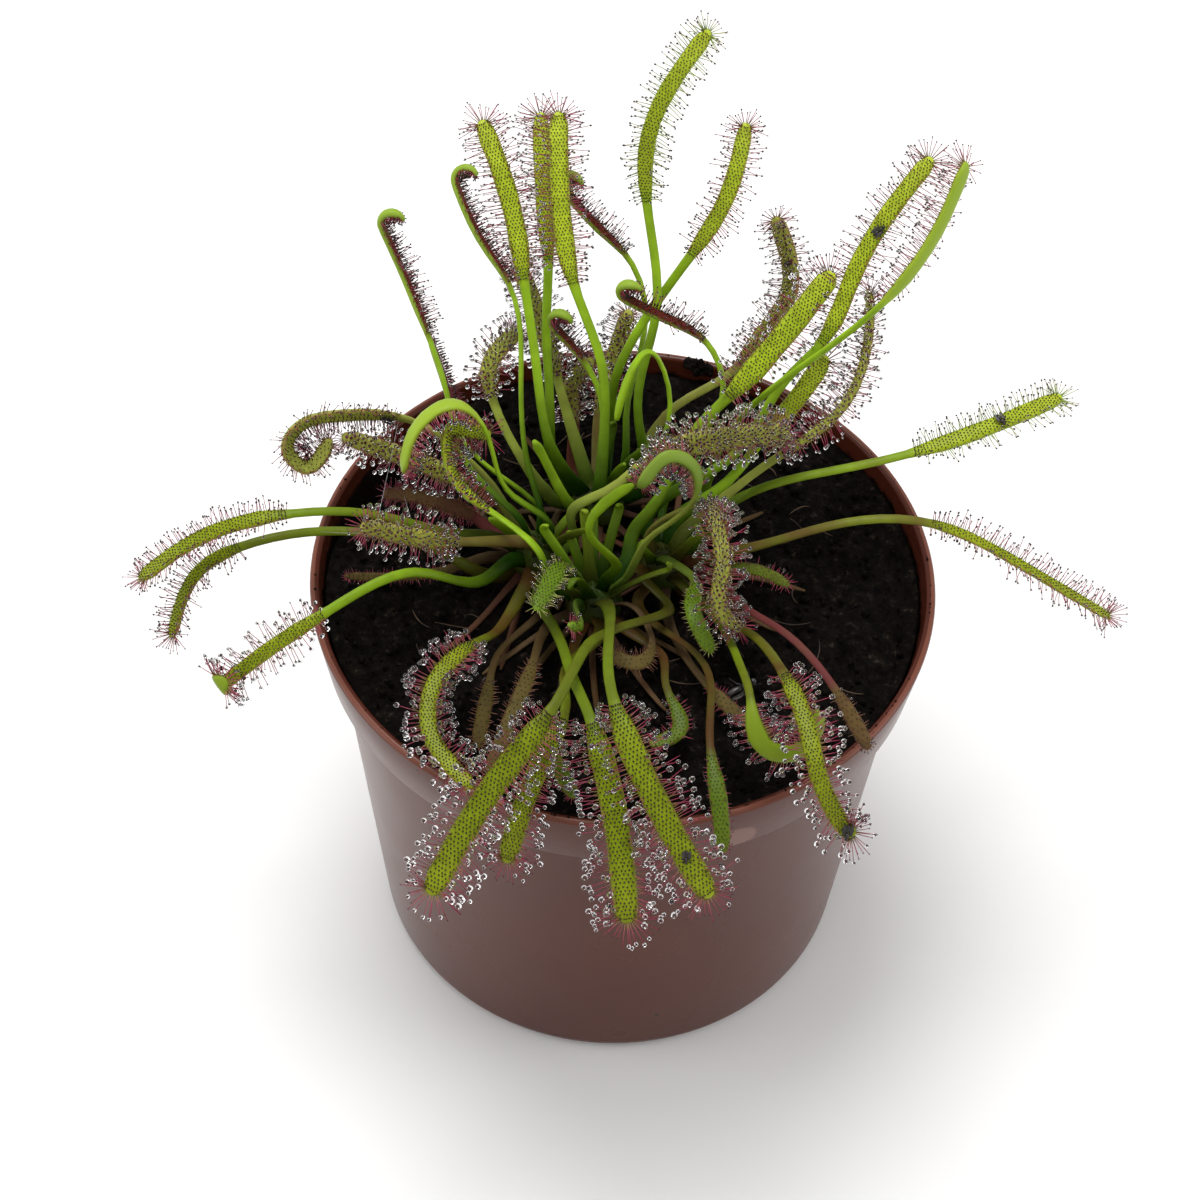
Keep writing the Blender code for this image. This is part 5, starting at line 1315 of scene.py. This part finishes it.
def shootLeaf(points, half, thick):
    # the same record as a leaf's, for a stalk with a blunt end and no blade
    points = refined(points, 2)
    tangents = unit(np.gradient(points, axis=0))
    up = (0.2, 0.1, 0.97) if abs(tangents[0][2]) < 0.8 else (0.0, -0.9, 0.3)
    tangents, faces, sides = carryFrames(points, 0, up)
    share = np.linspace(0, 1, len(points))
    wide = half * (1.35 - 0.5 * np.clip(3 * share, 0, 1) - 0.15 * share)
    wide = wide * np.sqrt(np.clip(1 - share ** 14, 0.15, 1))
    return {
        "points": points, "tangents": tangents, "faces": faces, "sides": sides, "half": wide,
        "thick": 0 * share + thick, "blade": 0 * share, "knee": len(points),
    }


def heartDome(x, y):
    # the crown's bumpy dome over the stub that stands in the peat
    top, stub = leafPlan["crownHeight"], leafPlan["stubRadius"]
    foot = top - leafPlan["stubDepth"]
    dome = arcPoints((0, top), heartLooks["radius"], 90, 0, 10)
    points, quads, caps = turnedSurface(dome + [[stub, top - 0.3], [stub, foot], [0, foot]], 36)
    away = unit(points - [0, 0, top - 2])
    bumps = np.sin(5 * np.arctan2(points[:, 1], points[:, 0]) + 1.3 * points[:, 2]) * heartLooks["bumps"]
    return points + away * (bumps * (points[:, 2] > top))[:, None] + [x, y, 0], [(quads, 0), (caps, 0)]


def makeHearts(plans, scenery, finishes):
    tissues, stalks, glands, dew = finishes
    total = 0
    for key, (x, y) in leafPlan["crowns"].items():
        points, sets = heartDome(x, y)
        # the dome takes a stalk's dark foot colour, a little red and dulled: partly its own deep green,
        # partly painted shade in the heart of the crown
        layers = {"along": 0.02, "edge": 0, "dewy": 1, "flush": 0.3, "ageAndShade": 0.6}
        layers = {layer: np.full(len(points), float(value)) for layer, value in layers.items()}
        drops, dropFaces = [np.zeros((0, 3))], [np.zeros((0, 4), int)]
        for name, route in shootRoutes.items():
            if route[0] != key:
                continue
            shoot, parts, extra, wet, wetFaces, _ = leafParts(
                name, route, plans[name], list(plans).index(name), scenery)
            finish = (shootKinds.index(route[1]), 4, 5)
            sets += [(faces + len(points), finish[number]) for faces, number in parts]
            points = np.concatenate([points, shoot])
            layers = {layer: np.concatenate([layers[layer], extra[layer]]) for layer in layers}
            dropFaces.append(wetFaces + sum(len(part) for part in drops))
            drops.append(wet)
        centre = np.array([x, y, leafPlan["crownHeight"]])
        for kind, looks in shootLooks.items():
            withered = kind == "withered"
            for path in heartShoots(centre, scenery, kind):
                path = path if withered or draw.random() < 0.35 else hooked(path)
                shoot, quads, caps, extra = tissueSurface(shootLeaf(path, looks["half"], looks["thick"]), 0.0)
                finish = shootKinds.index("old" if withered else "green")
                sets += [(faces + len(points), finish) for faces in (quads, caps)]
                points = np.concatenate([points, shoot])
                red = draw.uniform(0.0, 0.6) if withered else draw.choice(budReds)
                # withered stalks are dulled for their age; buds are dulled as painted shade in the heart of
                # the crown
                ageAndShade = draw.uniform(0.0, 1.2) if withered else draw.uniform(0.2, 1.0)
                extra["flush"], extra["ageAndShade"] = np.full(len(shoot), red), np.full(len(shoot), ageAndShade)
                # buds take only the lower, darker share of the stalk colours: painted shade in the heart of
                # the crown
                extra["along"] *= 1.0 if withered else draw.uniform(0.35, 0.7)
                layers = {layer: np.concatenate([layers[layer], extra[layer]]) for layer in layers}
        materials = [tissues[kind] for kind in shootKinds] + [stalks["green"], glands["green"]]
        piece = makePiece("heart_" + key, points, sets, materials, layers)
        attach(piece, "root")
        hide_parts("crown_" + key)
        total += triangleCount(sets)
        drops = np.concatenate(drops)
        if len(drops):
            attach(makePiece("dew_heart_" + key, drops, [(np.concatenate(dropFaces), 0)], [dew]), "root")
    print("hearts made, triangles", total)


# Gnats that the leaves have caught, and threads of silk between leaves

# leaf: millimetres along its midrib, place across the blade, turn in degrees, length in millimetres
caught = {
    "front_mid_right": (54, 0.1, 35, 1.7), "long_right": (50, 0.2, 80, 1.9),
    "long_right_high": (57, 0.3, 20, 2.0), "front_right_low": (56, 0.5, 70, 2.2),
    "curl_front_right": (30, -0.4, 100, 4.2),
    "spiral_left": (26, -0.2, 15, 1.7), "back_bend": (44, 0.0, 60, 1.2),
}
# of a gnat one millimetre long: middle and half sizes of thorax, abdomen and head, and of the wings
gnatBody = [((0.0, 0, 0.16), (0.20, 0.15, 0.15)), ((-0.42, 0, 0.13), (0.30, 0.13, 0.12)),
            ((0.24, 0, 0.13), (0.11, 0.12, 0.11))]
gnatWings = [((-0.35, side, 0.24), (0.38, 0.13, 0.015)) for side in (0.22, -0.22)]
silkLinks = [("spiral_left", 24, "reddish_left", 27), ("old_pink_left", 17, "reddish_left", 21),
             ("reddish_left", 25, "long_left_low", 30)]
silkLooks = {"radius": 0.018, "sag": 1 / 12.5, "steps": 9}


def makeGnats(fineOnes):
    # a gnat is three stretched balls for head, thorax and abdomen, six bent legs and two flat wings
    shell = mottledMaterial("gnatChitin", "#1A1614", {"IOR": 1.56, "Roughness": 0.35},
                            {"Scale": 1800, "Detail": 2}, [(0.35, "#0C0A09"), (0.7, "#2E2824")])
    film, shader = newMaterial("gnatWing", "#35312E", {"IOR": 1.5, "Roughness": 0.4})
    net = {"Vector": addNode(film, "TexCoord"), "Scale": 2600}
    veins = addNode(film, "TexVoronoi", net, feature="DISTANCE_TO_EDGE")
    tint = addNode(film, "ValToRGB", {0: veins}, [(0.03, "#141210"), (0.14, "#3A3632")])
    setInputs(shader, {"Base Color": tint})
    ball, ballFaces = roundTemplate()
    bodyPoints, wingPoints = (np.concatenate([ball * size + place for place, size in np.array(parts)])
                              for parts in (gnatBody, gnatWings))
    side = np.repeat([1.0, -1.0], 3)
    legs = {
        "root": np.stack([np.tile([0.1, 0.0, -0.1], 2), 0.08 * side, np.full(6, 0.12)], axis=1),
        "way": unit(np.stack([np.tile([0.6, 0.1, -0.6], 2), side, np.full(6, 0.35)], axis=1)),
        "size": np.full(6, 0.5), "bend": np.stack([np.zeros(6), 0.1 * side, np.full(6, -0.3)], axis=1),
    }
    shares, widths = np.array([0.0, 0.5, 1.0]), np.array([0.03, 0.025, 0.015])
    legPoints, legQuads, legCaps, _ = stalkSurface(legs, shares, widths)
    pattern = np.concatenate([bodyPoints, legPoints, wingPoints])
    first, second = len(bodyPoints), len(bodyPoints) + len(legPoints)
    bodyFaces = tiled(ballFaces, len(ball), len(gnatBody))
    wingFaces = tiled(ballFaces, len(ball), len(gnatWings)) + second
    for name, (at, across, turn, length) in caught.items():
        place, f = bladePlace(fineOnes[name], np.array([at * 2.0]), np.array([across]))
        turn = math.radians(turn)
        ahead = math.cos(turn) * f["tangents"][0] + math.sin(turn) * f["sides"][0]
        basis = np.stack([ahead, np.cross(f["faces"][0], ahead), f["faces"][0]])
        points = place[0] + 0.12 * f["faces"][0] + length * (pattern @ basis)
        sets = [(bodyFaces, 0), (legQuads + first, 0), (legCaps + first, 0), (wingFaces, 1)]
        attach(makePiece("gnat_" + name, points, sets, [shell, film]), "root")
    print("gnats set:", len(caught))


def makeSilk(fineOnes):
    # a thread hangs between two leaves: a straight run, and a parabola's sag of a fiftieth of its length
    material = mottledMaterial("spiderSilk", "#D8DADC", {"IOR": 1.5, "Roughness": 0.2},
                               {"Scale": 900}, [(0.4, "#A8ACB0"), (0.6, "#E8EAEC")])
    steps = silkLooks["steps"]
    share = np.linspace(0, 1, steps)[:, None]
    paths = []
    for one, start, two, end in silkLinks:
        a, b = fineOnes[one]["points"][start * 2], fineOnes[two]["points"][end * 2]
        sag = np.linalg.norm(b - a) * silkLooks["sag"] * share * (1 - share)
        paths.append(a + (b - a) * share - sag * [0, 0, 1.0])
    paths = np.array(paths)
    ways = unit(paths[:, -1] - paths[:, 0])
    points, quads, caps = threadSurface(paths, ways, np.full(steps, silkLooks["radius"]))
    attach(makePiece("silk_threads", points, [(quads, 0), (caps, 0)], [material]), "root")


# Stage, lights and camera

stageLooks = {
    "floorColour": "#F6F6F5", "floorReach": 2500, "worldStrength": 0.66,
    # name: place, aim, size and power
    "lamps": {
        "overhead softbox": ((-80, 110, 660), (0, 0, 70), 330, 2.6),
        "left softbox": ((-620, -60, 260), (0, 0, 50), 380, 0.9),
        "right softbox": ((620, -40, 260), (0, 0, 50), 380, 0.9),
    },
}
cameraLooks = {
    "distance": 360.0, "elevation": 50.84, "aimHeight": 60.0, "lookAt": (-3.19, 0.0, 65.585), "roll": 2.195,
    "lens": 72.9, "sensor": 36.0,
}


def makeStage():
    reach = stageLooks["floorReach"]
    corners = reach * np.array([[-1, -1, 0], [1, -1, 0], [1, 1, 0], [-1, 1, 0]], float)
    finish = {"Roughness": 0.9, "Specular IOR Level": 0.1}
    paper, _ = newMaterial("seamlessPaper", stageLooks["floorColour"], finish)
    makePiece("floor", corners, [(np.array([[0, 1, 2, 3]]), 0)], [paper])
    world = bpy.data.worlds.new("studio")
    bpy.context.scene.world = world
    world.use_nodes = True
    sky = world.node_tree.nodes["Background"]
    setInputs(sky, {"Color": (1.0, 1.0, 1.0, 1.0), "Strength": stageLooks["worldStrength"]})


def addLamp(name, place, aim, size, power):
    lamp = bpy.data.lights.new(name, "AREA")
    lamp.shape, lamp.size, lamp.energy = "DISK", size * mm, power
    item = bpy.data.objects.new(name, lamp)
    item.location = Vector(place) * mm
    item.rotation_euler = (Vector(aim) - Vector(place)).to_track_quat("-Z", "Y").to_euler()
    bpy.context.scene.collection.objects.link(item)


def addCamera():
    c = cameraLooks
    rise, roll = math.radians(c["elevation"]), math.radians(c["roll"])
    place = Vector((0, -c["distance"] * math.cos(rise), c["aimHeight"] + c["distance"] * math.sin(rise)))
    ahead = (Vector(c["lookAt"]) - place).normalized()
    right = ahead.cross(Vector((0, 0, 1))).normalized()
    up = right.cross(ahead)
    right, up = right * math.cos(roll) + up * math.sin(roll), up * math.cos(roll) - right * math.sin(roll)
    camera = bpy.data.cameras.new("camera")
    camera.lens, camera.sensor_width = c["lens"], c["sensor"]
    camera.clip_start, camera.clip_end = 0.01, 20.0
    item = bpy.data.objects.new("camera", camera)
    axes = Matrix((right, up, -ahead)).transposed().to_4x4()
    item.matrix_world = Matrix.Translation(place * mm) @ axes
    bpy.context.scene.collection.objects.link(item)
    bpy.context.scene.camera = item


makePot()
makeCrumbs(makePeat())
makeFibres()
plans = planPlant()
scenery = (
    np.concatenate([plan[0] for plan in plans.values()]),
    np.concatenate([np.full(len(plan[0]), i) for i, plan in enumerate(plans.values())]),
    np.concatenate([plan[3] for plan in plans.values()]),
)
finishes = makeFinishes()
fineOnes = makeLeaves(plans, scenery, finishes)
makeHearts(plans, scenery, finishes)
makeGnats(fineOnes)
makeSilk(fineOnes)
makeStage()
for name, (place, aim, size, power) in stageLooks["lamps"].items():
    addLamp(name, place, aim, size, power)
addCamera()
bpy.context.scene.view_settings.view_transform = "Standard"
